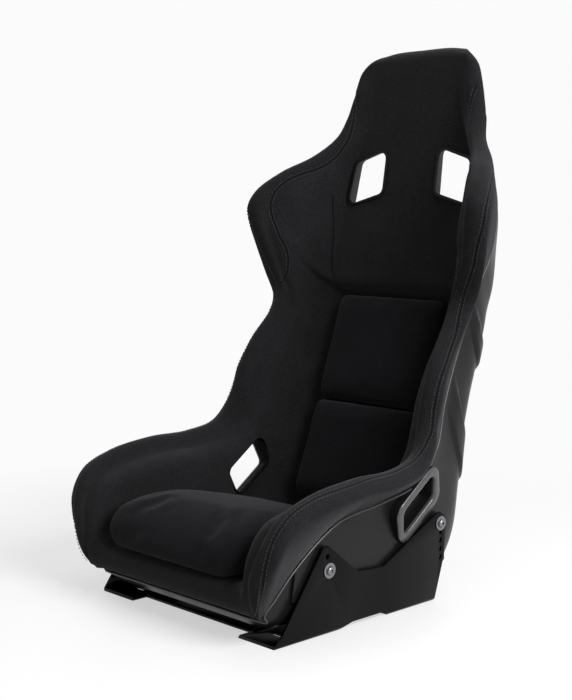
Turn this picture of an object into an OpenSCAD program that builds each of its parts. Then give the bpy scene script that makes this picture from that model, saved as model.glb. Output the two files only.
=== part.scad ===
// Fixed-back bucket racing seat on two bent side brackets.
// +Z up, +X the driver's left, the seat looks along -Y.
// Origin: centre of the four floor slots, on the floor.

/* [Overall size] */
// Height of the head end above the floor
seat_h = 919; // [760:1:1110]
// Reach of the front roll ahead of the floor slots' centre
pan_reach = 223; // [186:1:270]

/* [Shell] */
// Half width of the shell's side wall, at mid wall
shell_half = 192; // [184:1:230]
// Wall of the moulded shell
shell_wall = 4; // [3:0.1:5]
// Height of the side boss over the shell wall's middle
boss_rise = 10; // [9:0.5:12]
// Height of the stiffening bands across the back
band_rise = 5; // [3:0.5:8]

/* [Padding] */
// Reach of the thigh roll outside the shell's side wall
thigh_reach = 76; // [60:1:95]
// Half width over the shoulder wings
shoulder_half = 278; // [250:1:335]
// Half width over the waist
waist_half = 227; // [218:1:272]
// Half width over the head wings
head_half = 147; // [138:1:176]
// Half width of the flat back between the wings
back_floor_half = 126; // [118:1:140]
// Radius of the rolled edge along the wings
roll_r = 22; // [16:1:24]
// Thickness of the fabric
fabric_t = 2; // [1:0.1:3]
// Radius of the hem trim
hem_r = 2; // [1.5:0.1:2.5]

/* [Cushions] */
// Half width of the seat cushion at its widest
seat_cushion_half = 174; // [150:1:176]
// Thickness of the seat cushion at its crown
seat_cushion_t = 86; // [50:1:96]
// Half width of the back cushions
back_cushion_half = 124; // [100:1:130]
// Thickness of the lower back cushion
lower_cushion_t = 38; // [20:1:44]
// Thickness of the upper back cushion
upper_cushion_t = 34; // [18:1:40]
// Gap between the two back cushions
cushion_joint = 2; // [1:0.1:4]
// Thickness of a hook strip and of a loop strip
strip_t = 1.2; // [0.8:0.1:1.6]

/* [Belt slots] */
// Length of a lap belt slot
lap_slot_l = 94; // [70:1:100]
// Width of a lap belt slot
lap_slot_w = 50; // [36:1:56]
// Width of the flange round a lap belt slot
lap_flange = 14; // [8:1:17]
// Width of a shoulder belt slot
shoulder_slot_w = 74; // [60:1:78]
// Height of a shoulder belt slot
shoulder_slot_h = 78; // [50:1:84]
// Wall of the slot bezels
bezel_wall = 3; // [2:0.5:4]

/* [Brackets] */
// Thickness of the bracket plate
plate_t = 4; // [3:0.5:6]
// Height of the bracket's front point
bracket_front_h = 136; // [120:1:150]
// Height of the bracket's rear point
bracket_rear_h = 145; // [141:1:160]
// Width of a bracket foot, with the plate
foot_w = 82; // [60:1:110]
// Width of the cross strap
strap_w = 40; // [25:1:60]
// Side to side pitch of the floor slots
slot_pitch_x = 330; // [300:1:380]
// Front to rear pitch of the floor slots
slot_pitch_y = 280; // [240:1:290]
// Width of a floor slot
floor_slot_w = 9; // [7:0.5:11]
// Length of a floor slot
floor_slot_l = 30; // [20:1:40]

/* [Fasteners] */
// Thread diameter of the side bolts
bolt_d = 8; // [6:1:10]
// Pitch of the spare bolt holes
hole_pitch = 14; // [13:0.5:18]
// Length of the spacer between shell and bracket
spacer_l = 4; // [3:0.5:12]

/* [Hidden] */

// Clearances
skin_gap = 0.2;      // between fabric and foam
foam_gap = 0.5;      // between foam and shell
seat_gap = 0.3;      // between a bezel and the hole that it fills
hole_clear = 0.25;   // round a bolt shank, on the radius
cushion_gap = 3.2;   // under a cushion, for the hook and loop strips
strip_gap = 0.3;     // between hooks and loops
inf = 1000;

shell_grey = [0.25, 0.25, 0.26];
knit = [0.20, 0.20, 0.21];
cushion_black = [0.09, 0.09, 0.11];
trim_grey = [0.62, 0.62, 0.63];
gloss_black = [0.06, 0.06, 0.06];
steel = [0.75, 0.75, 0.76];
foam_grey = [0.45, 0.45, 0.47];

// ---- Small helpers ----

function unit(v) = v / norm(v);
function lerp(a, b, t) = a + (b - a) * t;
function flat(rows) = [for (row = rows) each row];

// Solid between two grids of points of the same size. Quads are split alike on both halves, and
// the other way past the rim, so that grids that share points share faces.
rim_column = 7;
module sheet(top, bottom) {
    nr = len(top);
    nc = len(top[0]);
    n = nr * nc;
    function at(r, c) = r * nc + c;
    upper = [for (r = [0:nr - 2]) for (c = [0:nc - 2])
        each ((c < (nc - 1) / 2) != (abs(c + 0.5 - (nc - 1) / 2) > rim_column)
            ? [[at(r, c), at(r + 1, c), at(r + 1, c + 1)], [at(r, c), at(r + 1, c + 1), at(r, c + 1)]]
            : [[at(r, c), at(r + 1, c), at(r, c + 1)], [at(r + 1, c), at(r + 1, c + 1), at(r, c + 1)]])];
    lower = [for (f = upper) [f[2] + n, f[1] + n, f[0] + n]];
    rim = concat(
        [for (c = [0:nc - 1]) at(0, c)],
        [for (r = [1:nr - 1]) at(r, nc - 1)],
        [for (c = [nc - 2:-1:0]) at(nr - 1, c)],
        [for (r = [nr - 2:-1:1]) at(r, 0)]);
    m = len(rim);
    far = nc + nr - 2;      // where the rim turns back along the last row
    sides = [for (k = [0:m - 1]) let (a = rim[k], b = rim[(k + 1) % m])
        each (k < far ? [[a, b, b + n], [a, b + n, a + n]] : [[a, b, a + n], [b, b + n, a + n]])];
    polyhedron(concat(flat(top), flat(bottom)), concat(upper, lower, sides), convexity = 10);
}

// Grid moved along its own surface normals
function grid_normal(g, r, c) = let (
    nr = len(g), nc = len(g[0]),
    dr = g[min(r + 1, nr - 1)][c] - g[max(r - 1, 0)][c],
    dc = g[r][min(c + 1, nc - 1)] - g[r][max(c - 1, 0)]) unit(cross(dr, dc));
function moved(g, d) = [for (r = [0:len(g) - 1]) [for (c = [0:len(g[0]) - 1])
    g[r][c] + d * grid_normal(g, r, c)]];
function some_rows(g, first, last) = [for (r = [first:last]) g[r]];

// Half row, from the middle out, to a whole row
function whole(half) = concat(
    [for (k = [len(half) - 1:-1:1]) [-half[k][0], half[k][1], half[k][2]]], half);

// Outline with its corners rounded
function rounded(pts, r, steps = 4) = let (n = len(pts)) [for (k = [0:n - 1]) let (
        p = pts[k],
        a = unit(pts[(k + n - 1) % n] - p),
        b = unit(pts[(k + 1) % n] - p),
        half = acos(a * b) / 2,
        centre = p + unit(a + b) * r / sin(half),
        from = p + a * r / tan(half) - centre,
        to = p + b * r / tan(half) - centre,
        turn = acos(unit(from) * unit(to)))
    each [for (s = [0:steps]) let (
        w = s / steps,
        q = (from * sin((1 - w) * turn) + to * sin(w * turn)) / sin(turn)) centre + q]];

// Solid of a side-view outline in Y and Z, from x0 to x1
module side_plate(pts, x0, x1) {
    translate([x0, 0, 0]) rotate([90, 0, 90]) linear_extrude(x1 - x0) polygon(pts);
}

// Cylinder along X
module rod(r, x0, x1, y, z) {
    translate([x0, y, z]) rotate([0, 90, 0]) cylinder(r = r, h = x1 - x0, $fn = 48);
}

// Block between two same-sided outlines in planes x0 and x1
module tapered_block(pts0, x0, pts1, x1) {
    skin = 0.01;
    hull() {
        side_plate(pts0, x0, x0 + skin);
        side_plate(pts1, x1 - skin, x1);
    }
}

module both_sides() {
    children();
    mirror([1, 0, 0]) children();
}

// ---- Form of the seat ----

// Side view points are drawn for this height and reach, then stretched to the chosen ones
drawn_h = 919;
drawn_reach = 223;
stretch_from_z = 300;
stretch_from_y = 0;
function place(p) = [
    p[0] < stretch_from_y ? stretch_from_y + (p[0] - stretch_from_y) * pan_reach / drawn_reach : p[0],
    p[1] > stretch_from_z
        ? stretch_from_z + (p[1] - stretch_from_z) * (seat_h - stretch_from_z) / (drawn_h - stretch_from_z)
        : p[1]];

thigh_half = shell_half + thigh_reach;
pan_floor_half = shell_half - 42;
pan_wall = shell_half - 8;
bfh = back_floor_half;

// One row for each cross-section of the padding, from the front hem over the pan, up the back and
// over the crown: padded floor, crest of the roll, shell floor (Y and Z of each), half width of
// the floor, wall at a quarter of its height, wall under the roll, outside, roll radius, half
// width of the shell low on its wall and at the hem, height of the hem as a share of the wall
lip = 4;      // row of the shell's front edge
seat_end = 13;    // last row of the base foam
back_end = 20;    // last row of the back foam
top = 27;     // row of the shell's top edge
sections = [
    [[-199, 45], [-201, 46], [-194, 43], pan_floor_half, pan_wall - 19, pan_wall - 9, pan_wall + 8, 1, 187, 188, 0],
    [[-215, 54], [-217, 56], [-201, 44], pan_floor_half, pan_wall - 14, pan_wall - 2, pan_wall + 19, 3, 189, 190, 0],
    [[-223, 72], [-229, 80], [-205, 47], pan_floor_half, pan_wall - 12, pan_wall, pan_wall + 30, 8, 191, 192, 0],
    [[-219, 86], [-233, 120], [-203, 48], pan_floor_half, pan_wall - 8, pan_wall + 2, pan_wall + 42, 14, 192, 193, 0.05],
    [[-205, 92], [-222, 168], [-194, 43], pan_floor_half, pan_wall - 6, pan_wall, thigh_half - 20, 19, 190, 192, 0.12],
    [[-180, 92], [-195, 207], [-173, 24], pan_floor_half, pan_wall - 4, pan_wall, thigh_half - 10, 20, 192, 195, 0.32],
    [[-135, 88], [-140, 229], [-135, 18], pan_floor_half, pan_wall - 4, pan_wall, thigh_half - 4, 21, 192, 200, 0.53],
    [[-55, 76], [-55, 241], [-55, 18], pan_floor_half, pan_wall - 4, pan_wall, thigh_half, roll_r, 192, 205, 0.77],
    [[35, 60], [30, 243], [35, 18], pan_floor_half - 2, pan_wall - 4, pan_wall, thigh_half - 1, roll_r, 192, 210, 0.84],
    [[115, 50], [90, 258], [120, 18], pan_floor_half - 8, pan_wall - 5, pan_wall, thigh_half - 10, roll_r,
        192, 214, 0.84],
    [[160, 55], [117, 290], [175, 22], bfh + 10, pan_wall - 6, pan_wall, thigh_half - 17, roll_r, 192, 213, 0.78],
    [[187, 85], [130, 325], [220, 38], bfh + 4, pan_wall - 10, pan_wall - 2, waist_half + 16, roll_r - 1,
        192, 208, 0.75],
    [[200, 135], [142, 362], [253, 80], bfh, bfh + 44, bfh + 54, waist_half + 14, roll_r - 1, 190, 202, 0.70],
    [[233, 220], [167, 408], [271, 150], bfh, bfh + 38, bfh + 50, waist_half + 6, roll_r - 2, 186, 195, 0.72],
    [[257, 297], [205, 455], [283, 225], bfh, bfh + 32, bfh + 46, waist_half, roll_r - 2, 182, 192, 0.76],
    [[280, 360], [220, 490], [303, 300], bfh, bfh + 32, bfh + 48, waist_half + 4, roll_r - 1, 180, 196, 0.77],
    [[300, 420], [213, 540], [320, 365], bfh, bfh + 40, bfh + 64, waist_half + 26, roll_r, 184, 210, 0.74],
    [[316, 478], [200, 590], [328, 425], bfh + 4, bfh + 44, bfh + 76, shoulder_half - 10, roll_r + 1, 192, 222, 0.64],
    [[300, 500], [195, 612], [330, 455], bfh + 8, bfh + 48, bfh + 81, shoulder_half - 5, roll_r + 1, 195, 224, 0.56],
    [[306, 530], [193, 645], [336, 495], bfh + 18, bfh + 52, bfh + 84, shoulder_half, roll_r + 2, 200, 226, 0.48],
    [[320, 580], [207, 672], [344, 560], bfh + 22, bfh + 50, bfh + 78, shoulder_half - 7, roll_r + 2, 198, 224, 0.44],
    [[335, 635], [245, 705], [352, 620], bfh + 24, bfh + 42, bfh + 58, shoulder_half - 35, roll_r + 1, 192, 208, 0.42],
    [[346, 690], [293, 735], [363, 680], bfh + 20, bfh + 26, bfh + 32, head_half + 58, roll_r - 1, 168, 176, 0.38],
    [[352, 740], [323, 770], [370, 740], head_half - 20, head_half - 17, head_half - 14, head_half + 25,
        roll_r - 3, 138, 144, 0.28],
    [[355, 790], [337, 800], [381, 790], head_half - 42, head_half - 35, head_half - 27, head_half + 13,
        roll_r - 5, 121, 125, 0.15],
    [[358, 850], [345, 853], [390, 850], head_half - 52, head_half - 45, head_half - 35, head_half,
        roll_r - 8, 106, 109, 0.1],
    [[360, 886], [352, 888], [394, 880], head_half - 58, head_half - 48, head_half - 38, head_half - 10,
        roll_r - 12, 96, 99, 0.1],
    [[364, 908], [360, 909], [392, 901], head_half - 70, head_half - 60, head_half - 50, head_half - 26,
        roll_r - 15, 88, 91, 0.1],
    [[378, 917], [378, 918], [395, 904], head_half - 82, head_half - 70, head_half - 58, head_half - 44, 2, 89, 92, 0.1],
    [[393, 912], [395, 913], [396, 902], head_half - 88, head_half - 76, head_half - 64, head_half - 51, 2, 86, 88, 0.1],
    [[401, 890], [403, 890], [397, 890], head_half - 92, head_half - 80, head_half - 68, head_half - 48, 1, 85, 87, 0.1],
];
last = len(sections) - 1;

// Place of a section's own point: x across, s along the section's height over the padded floor
function floor_of(i) = place(sections[i][0]);
function up_of(i) = unit(place(sections[i][1]) - floor_of(i));
function knee_of(i) = place(sections[i][1]) - sections[i][7] * up_of(i);
function shell_floor_of(i) = place(sections[i][2]);
function spot(x, p) = [x, p[0], p[1]];
drawn_shell_half = 192;
hem_stand = 6;      // fabric's outer face at the hem, outside the shell wall's middle
flare_above_hem = 0.05;

// Outer face of the fabric, from the middle out to the hem
function skin_half(i) = let (
    s = sections[i], o = floor_of(i), k = knee_of(i), n = up_of(i),
    w = s[6], r = s[7], xh = s[9] - drawn_shell_half + shell_half) [
    spot(0, o),
    spot(s[3], o),
    spot(s[4], lerp(o, k, 0.28)),
    spot(s[5], lerp(o, k, 0.9)),
    spot(w - 2 * r, k),
    spot(w - 1.7 * r, k + 0.7 * r * n),
    spot(w - r, k + r * n),
    spot(w - 0.3 * r, k + 0.7 * r * n),
    spot(w, k),
    spot(xh + hem_stand, lerp(shell_floor_of(i), k, s[10]))];

// Middle of the shell's wall, from the middle out to the rim
function wall_half(i) = let (
    s = sections[i], q = shell_floor_of(i), k = knee_of(i), flare = s[10] + flare_above_hem,
    xs = s[8] - drawn_shell_half + shell_half, xh = s[9] - drawn_shell_half + shell_half) [
    spot(0, q),
    spot(xs - 45, q),
    spot(xs - 14, lerp(q, k, 0.05 * flare)),
    spot(xs, lerp(q, k, 0.2 * flare)),
    spot(xh, lerp(q, k, flare)),
    spot(s[6] - s[7], k)];

skin_grid = [for (i = [0:last]) whole(skin_half(i))];
end_step = 0.04;    // the shell's ends stand back by this share of a row, clear of the roll foams
wall_rows = [for (i = [lip:top]) whole(wall_half(i))];
function part_row(a, b, t) = [for (c = [0:len(a) - 1]) lerp(a[c], b[c], t)];
wall_grid = [for (k = [0:top - lip])
    k == 0 ? part_row(wall_rows[0], wall_rows[1], end_step)
    : k == top - lip ? part_row(wall_rows[k], wall_rows[k - 1], end_step) : wall_rows[k]];
wall_in = moved(wall_grid, -shell_wall / 2);
wall_out = moved(wall_grid, shell_wall / 2);
foam_top = moved(skin_grid, fabric_t + skin_gap);
bed_in = moved(wall_grid, -shell_wall / 2 - foam_gap);
bed_out = moved(wall_grid, shell_wall / 2 + foam_gap);
mid = 5;      // middle column of the wall grid

// Foam's bed on the shell: up the inside, over the rim and down the outside to the hem
function bed_half(i) = let (
    r = i - lip, a = bed_in[r], b = bed_out[r], m = wall_grid[r],
    over = m[mid + 5] + (shell_wall / 2 + 1) * unit(m[mid + 5] - m[mid + 4]),
    hem_t = sections[i][10] / (sections[i][10] + flare_above_hem)) [
    a[mid], a[mid + 1], a[mid + 2], a[mid + 3], a[mid + 4], a[mid + 5], over,
    b[mid + 5], b[mid + 4],
    lerp(b[mid + 3], b[mid + 4], (hem_t - 0.2) / 0.8) + 0.3 * unit(b[mid + 4] - m[mid + 4])];
function bed_grid(first, last_row) = [for (i = [first:last_row]) whole(bed_half(i))];

// Back of the front roll's foam, where it lies against the shell's edge and inside the turned-in cover
function against_shell() = let (f = bed_in[0], h = bed_half(lip))
    [for (k = [0:9]) k < 4 ? f[mid + k] - [0, edge_gap, 0]
        : lerp(f[mid + 3], h[9], (k - 3) / 6) - [0, 3 * edge_gap, 0]];
edge_gap = 2;       // between the shell's front edge and the front roll's foam
roll_from = 2;      // the front roll's foam starts at this row
roll_flat_h = 12;   // over the turned-in cover
turn_in = [2.5, 4];     // from the cover's front hem to the foam's lowest edge
roll_flat = let (f = floor_of(0), h = fabric_t + roll_flat_h)     // where the foam is cut flat
    [f + [-inf, -inf], f + [inf, -inf], f + [inf, h], f + [-inf, h]];
function in_the_turn() = let (reach = skin_half(0)[9][0] - fabric_t - 2 * hem_r - 1)
    [for (k = [0:9]) spot(k / 9 * reach, floor_of(0) + turn_in)];
function closing_half(i) = let (a = in_the_turn(), b = against_shell(), t = (i - roll_from) / (lip - roll_from))
    [for (k = [0:9]) lerp(a[k], b[k], t)];
function closing_grid(first, last_row) = [for (i = [first:last_row]) whole(closing_half(i))];

// Rows with one end drawn back by a share of a row, so that two foams meet with a fine joint
roll_joint = 0.05;
function short_last(g) = let (n = len(g)) [for (k = [0:n - 1])
    k == n - 1 ? part_row(g[k], g[k - 1], roll_joint) : g[k]];
function short_first(g) = [for (k = [0:len(g) - 1]) k == 0 ? part_row(g[0], g[1], roll_joint) : g[k]];

// Foam under the crown: its outer face, and its back over the shell's top edge. It stops at the
// side short of the cover's fold.
crown_end = last - 1;
crown_back_share = 0.93;
crown_back_off = [[-1, 0.6], [0, 1.3], [1, 2]];     // from the shell's top edge, for each row
function crown_front(i) = inner_columns(foam_top[i], 3);
function crown_back(i) = [for (p = crown_front(i))
    spot(p[0] * crown_back_share, shell_floor_of(top) + crown_back_off[i - top])];

// ---- Belt slots ----

// Lap belt slot: on a plane that leans out with the shell's side
lap_slot_at = [shell_half + 19, 127, 167];
lap_slot_slope = 36;     // of its long axis, in side view
lap_slot_lean = 15;
lap_slot_corner = 13;
lap_slot_skew = 8;       // the slot's upper edge stands this much further back
module on_lap_plane() {
    translate(lap_slot_at) rotate([lap_slot_slope, 0, 0]) rotate([0, lap_slot_lean, 0])
        rotate([90, 0, 90]) children();
}
function lap_outline(grow) = let (l = lap_slot_l / 2 + grow, w = lap_slot_w / 2 + grow, d = lap_slot_skew)
    rounded([[-l - d, -w], [l - d, -w], [l + d, w], [-l + d, w]], lap_slot_corner + grow * 0.8);
bezel_flange_t = 3.2;
lap_sleeve_l = 24;
lap_cut_l = 45;
lap_pad_l = 22;

// Shoulder belt slot: lies on the padded floor between two sections
slot_foot = floor_of(21);
slot_head = floor_of(23);
slot_tilt = atan2(slot_head[0] - slot_foot[0], slot_head[1] - slot_foot[1]);
shoulder_slot_x = 62;    // inner edge of the slot from the middle
shoulder_slot_up = 30;   // its inner lower corner above the lower section
shoulder_slot_drop = 22;     // the outer edge lies this much lower
shoulder_slot_corner = 12;
shoulder_tunnel = 60;
shoulder_flange = 5;
shoulder_flange_t = 2;
module on_slot_plane() {
    translate([0, slot_foot[0], slot_foot[1]]) rotate([-slot_tilt, 0, 0]) rotate([90, 0, 0]) children();
}
function shoulder_outline(grow) = let (
    x0 = shoulder_slot_x - grow, x1 = x0 + shoulder_slot_w + 2 * grow,
    z0 = shoulder_slot_up - grow, z1 = z0 + shoulder_slot_h + 2 * grow, d = shoulder_slot_drop,
    lean = 6)
    rounded([[x0, z0], [x1 + lean, z0 - d], [x1 - lean, z1 - d], [x0, z1]], shoulder_slot_corner + grow * 0.8);

// Block between two outlines at two heights over a slot's plane
module slot_block(pts0, z0, pts1, z1) {
    skin = 0.01;
    hull() {
        translate([0, 0, z0]) linear_extrude(skin) polygon(pts0);
        translate([0, 0, z1 - skin]) linear_extrude(skin) polygon(pts1);
    }
}

// Everything that the slots take out: their tunnels, and the seats of their flanges. Fabric and
// foam are cut back round the lap bezel's pad too, down to seat_depth under its flange.
flange_cut = 8;
module slot_cuts(seat_depth) {
    lap_hole = lap_outline(bezel_wall + seat_gap);
    lap_seat = lap_outline(lap_flange + 1);
    shoulder_hole = shoulder_outline(bezel_wall + seat_gap);
    shoulder_seat = shoulder_outline(shoulder_flange + 1);
    both_sides() {
        on_lap_plane() slot_block(lap_hole, -lap_cut_l, lap_hole, lap_cut_l);
        on_lap_plane() slot_block(lap_seat, -seat_depth, lap_seat, lap_cut_l);
        on_slot_plane() slot_block(shoulder_hole, -2 * shoulder_tunnel, shoulder_hole, flange_cut);
        on_slot_plane() slot_block(shoulder_seat, 0.2, shoulder_seat, flange_cut);
    }
}

// ---- Brackets and what bolts them on ----

boss_x = shell_half + boss_rise;
plate_in = boss_x + spacer_l;
plate_out = plate_in + plate_t;
bolt_r = bolt_d / 2;
front_bolt = [-75, 98];
rear_bolt = [185, 127];
bolts = [front_bolt, rear_bolt];
spare_holes = concat([front_bolt + [-4, 22]], [for (k = [1:4]) rear_bolt - [0, k * hole_pitch]]);
insert_r = bolt_r * 2;
insert_in = shell_half - 2;
insert_gap = 0.25;
insert_fit = 0.1;
spacer_r = bolt_r * 2.5;
washer_r = bolt_r * 3;
washer_t = 1.6;
head_r = bolt_r * 1.75;
head_h = bolt_r * 1.1;
key_r = bolt_r * 0.72;
key_depth = head_h * 0.6;
bolt_tip = insert_in + 2;

front_boss = [[-146, 60], [-138, 108], [-95, 156], [-20, 166], [62, 134], [84, 100], [88, 64], [64, 56]];
rear_boss = [[164, 62], [168, 136], [176, 143], [195, 143], [204, 134], [206, 62], [199, 56], [171, 56]];
boss_ledge = [10, 16];     // slope at the boss's top edge, in side view

// Side outline of a bracket, from the front toe round the top
bracket_front_y = -185;
bracket_rear_y = 172;
relief_h = 8;
bracket_outline = [
    [bracket_front_y, 0], [-91, bracket_front_h - 6], [-88, bracket_front_h - 1], [-77, bracket_front_h],
    [-11, 84], [47, 81], [175, bracket_rear_h - 1], [186, bracket_rear_h], [199, bracket_rear_h - 8],
    [196, 73], [bracket_rear_y, 0], [60, 0], [56, relief_h], [-23, relief_h], [-59, 0]];
bend_r = 2;

// L-shaped section of a bracket in X and Z, with its bend
function bend_arc(r, a0, a1) = [for (k = [0:6]) let (a = lerp(a0, a1, k / 6))
    [plate_in - bend_r, plate_t + bend_r] + r * [cos(a), sin(a)]];
bracket_section = concat(
    [[plate_out, inf], [plate_in, inf]],
    bend_arc(bend_r, 0, -90),
    [[plate_out - foot_w, plate_t], [plate_out - foot_w, 0]],
    bend_arc(bend_r + plate_t, -90, 0));

module bracket() {
    color(gloss_black) difference() {
        intersection() {
            translate([0, inf, 0]) rotate([90, 0, 0]) linear_extrude(2 * inf) polygon(bracket_section);
            side_plate(bracket_outline, 0, inf);
        }
        for (p = concat(bolts, spare_holes)) rod(bolt_r + hole_clear, plate_in - 1, plate_out + 1, p[0], p[1]);
        for (s = [-1, 1]) translate([slot_pitch_x / 2, s * slot_pitch_y / 2, 0]) floor_slot();
    }
}

// One floor slot, long across the seat
module floor_slot() {
    straight = floor_slot_l - floor_slot_w;
    for (s = [-1, 1]) translate([s * straight / 2, 0, -1]) cylinder(d = floor_slot_w, h = plate_t + 2, $fn = 48);
    translate([-straight / 2, -floor_slot_w / 2, -1]) cube([straight, floor_slot_w, plate_t + 2]);
}

strap_y = slot_pitch_y / 2 - 3;
strap_half = plate_out - foot_w;
module cross_strap(y) {
    color(gloss_black) translate([-strap_half, y - strap_w / 2, 0]) cube([2 * strap_half, strap_w, plate_t]);
}

// Weld bead along each joint of strap and foot
weld_r = 2.5;
weld_l = 34;
module strap_weld(x, y) {
    difference() {
        translate([x, y - weld_l / 2, plate_t]) rotate([-90, 0, 0]) cylinder(r = weld_r, h = weld_l, $fn = 24);
        translate([x - 2 * weld_r, y - weld_l, plate_t - 2 * weld_r]) cube([4 * weld_r, 2 * weld_l, 2 * weld_r]);
    }
}

// ---- Cushions ----

floor_line = [for (i = [3:11]) floor_of(i)];
back_line = [for (i = [10:17]) [floor_of(i)[1], floor_of(i)[0]]];
back_slope = atan2(floor_of(16)[0] - floor_of(12)[0], floor_of(16)[1] - floor_of(12)[1]);
back_normal = [-cos(back_slope), sin(back_slope)];

// Crowned section of a cushion: share of the half width and of the thickness
crown_top = [[0, 1], [0.38, 0.99], [0.68, 0.955], [0.88, 0.86], [0.97, 0.7], [1, 0.5]];
seat_foot = [[0, 0], [0.38, 0], [0.66, 0], [0.80, 0], [0.86, 0.1], [0.93, 0.28]];
back_foot = [[0, 0], [0.38, 0], [0.68, 0], [0.9, 0], [0.96, 0.05], [0.985, 0.22]];
function cushion_row(b, t, half, shape) = whole([for (p = shape) spot(p[0] * half, lerp(b, t, p[1]))]);

// Seat cushion: Y and share of the width of the foot, Y and height share of the crown above it
seat_stations = [
    [-213, 0.80, -220, 0.10], [-207, 0.86, -229, 0.36], [-197, 0.91, -222, 0.62], [-180, 0.96, -200, 0.86],
    [-135, 0.99, -150, 0.99], [-95, 1, -100, 1], [-55, 1, -56, 0.97], [35, 1, 35, 0.90],
    [80, 0.96, 80, 0.80], [112, 0.90, 112, 0.66], [128, 0.85, 129, 0.50], [138, 0.79, 140, 0.26]];
function seat_foot_at(s) = let (y = place([s[0], 0])[0]) [y, lookup(y, floor_line) + cushion_gap];
function seat_crown_at(s) = [place([s[2], 0])[0], seat_foot_at(s)[1] + s[3] * seat_cushion_t];
seat_cushion_top = [for (s = seat_stations)
    cushion_row(seat_foot_at(s), seat_crown_at(s), s[1] * seat_cushion_half, crown_top)];
seat_cushion_foot = [for (s = seat_stations)
    cushion_row(seat_foot_at(s), seat_crown_at(s), s[1] * seat_cushion_half, seat_foot)];

// Back cushions: height on the back, share of the thickness, share of the width
back_joint = 289.5;     // height at which the two cushions meet
joint_half = cushion_joint / 2;
lower_stations = [
    [118, 0.45, 0.93], [122, 0.72, 0.96], [128, 0.88, 0.98], [135, 0.97, 0.99],
    [178, 1, 1], [220, 1, 1], [262, 0.98, 0.99], [278, 0.93, 0.98],
    [back_joint - joint_half, 0.82, 0.96]];
upper_stations = [
    [back_joint + joint_half, 0.86, 0.96], [301, 0.98, 0.98], [325, 1.04, 0.99], [360, 1.04, 1], [420, 1.02, 1],
    [455, 0.92, 1], [468, 0.82, 0.99], [474, 0.70, 0.98], [478, 0.5, 0.96]];
function back_foot_at(z) = let (p = place([0, z])) [lookup(p[1], back_line) - cushion_gap / cos(back_slope), p[1]];
function back_row(s, t, shape) = let (b = back_foot_at(s[0]))
    cushion_row(b, b + s[1] * t * back_normal, s[2] * back_cushion_half, shape);

// Flat strip on a stretch of floor between two points, standing from d0 to d1 above it
module strip(a, b, d0, d1, x, width, reach) {
    slope = atan2(b[1] - a[1], b[0] - a[0]);
    m = (a + b) / 2;
    translate([x, m[0], m[1]]) rotate([slope, 0, 0])
        translate([-width / 2, -reach / 2, d0]) cube([width, reach, d1 - d0]);
}
strip_w = 150;
strip_reach = 38;
hook_from = strip_gap + strip_t + 0.1;

// ---- Pieces ----

// Row of a grid between two sections, for a band that follows the shell and ends on its side
function between(g, r) = let (i = floor(r)) part_row(g[i], g[i + 1], r - i);
function inner_columns(row, n) = let (m = (len(row) - 1) / 2) [for (c = [m - n:m + n]) row[c]];
function band_row(g, r, end) = let (row = between(g, r))
    concat([lerp(row[mid - 3], row[mid - 4], end)], inner_columns(row, 3), [lerp(row[mid + 3], row[mid + 4], end)]);
module back_band(r0, r1) {
    slope = 0.12;
    high = moved(wall_grid, shell_wall / 2 + band_rise);
    rows = [r0, r0 + slope, (r0 + r1) / 2, r1 - slope, r1];
    reach = 0.6;
    sheet([for (r = rows) band_row(wall_grid, r, reach)],
        [for (k = [0:4]) let (edge = k == 0 || k == 4, row = band_row(edge ? wall_out : high, rows[k], reach))
            [for (c = [0:8]) c == 0 || c == 8 ? band_row(wall_out, rows[k], reach + 0.06)[c] : row[c]]]);
}

module base_foam_blank() {
    sheet(some_rows(foam_top, lip, seat_end), bed_grid(lip, seat_end));
}
module insert_pockets() {
    both_sides() for (p = bolts) rod(insert_r + insert_gap, insert_in - 0.3, boss_x + 1, p[0], p[1]);
}

// Space inside the shell that its bosses must leave free
module shell_inside() {
    sheet([for (i = [lip:seat_end + 1]) inner_columns(skin_grid[i], 4)],
        [for (i = [lip:seat_end + 1]) inner_columns(wall_in[i - lip], 4)]);
}

module shell() {
    color(shell_grey) difference() {
        union() {
            sheet(wall_in, wall_out);
            back_band(9.2, 10.15);
            back_band(11.85, 12.55);
            difference() {
                both_sides() {
                    tapered_block([for (p = front_boss) p + (p[1] > 100 ? boss_ledge : [0, 0])], insert_in,
                        front_boss, boss_x);
                    tapered_block(rear_boss, insert_in, rear_boss, boss_x);
                    on_lap_plane() slot_block(lap_outline(lap_flange), -lap_pad_l, lap_outline(lap_flange), -0.05);
                }
                shell_inside();
            }
        }
        slot_cuts(0);
        insert_pockets();
    }
}

module front_roll_foam() {
    color(foam_grey) difference() {
        sheet(short_last(some_rows(foam_top, roll_from, lip)), short_last(closing_grid(roll_from, lip)));
        side_plate(roll_flat, -inf, inf);
    }
}

module base_foam() {
    color(foam_grey) difference() {
        base_foam_blank();
        slot_cuts(flange_cut);
        insert_pockets();
    }
}

module back_foam() {
    color(foam_grey) sheet(some_rows(foam_top, seat_end, back_end), bed_grid(seat_end, back_end));
}

module head_foam() {
    color(foam_grey) difference() {
        sheet(some_rows(foam_top, back_end, top), bed_grid(back_end, top));
        slot_cuts(flange_cut);
    }
}

module crown_roll_foam() {
    color(foam_grey) sheet(short_first([for (i = [top:crown_end]) crown_front(i)]),
        short_first([for (i = [top:crown_end]) crown_back(i)]));
}

module cover(first, last_row) {
    color(knit) difference() {
        sheet(some_rows(skin_grid, first, last_row), some_rows(cover_in, first, last_row));
        slot_cuts(flange_cut);
    }
}
module pan_cover() { cover(0, seat_end); }
module back_cover() { cover(seat_end, last); }

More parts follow.
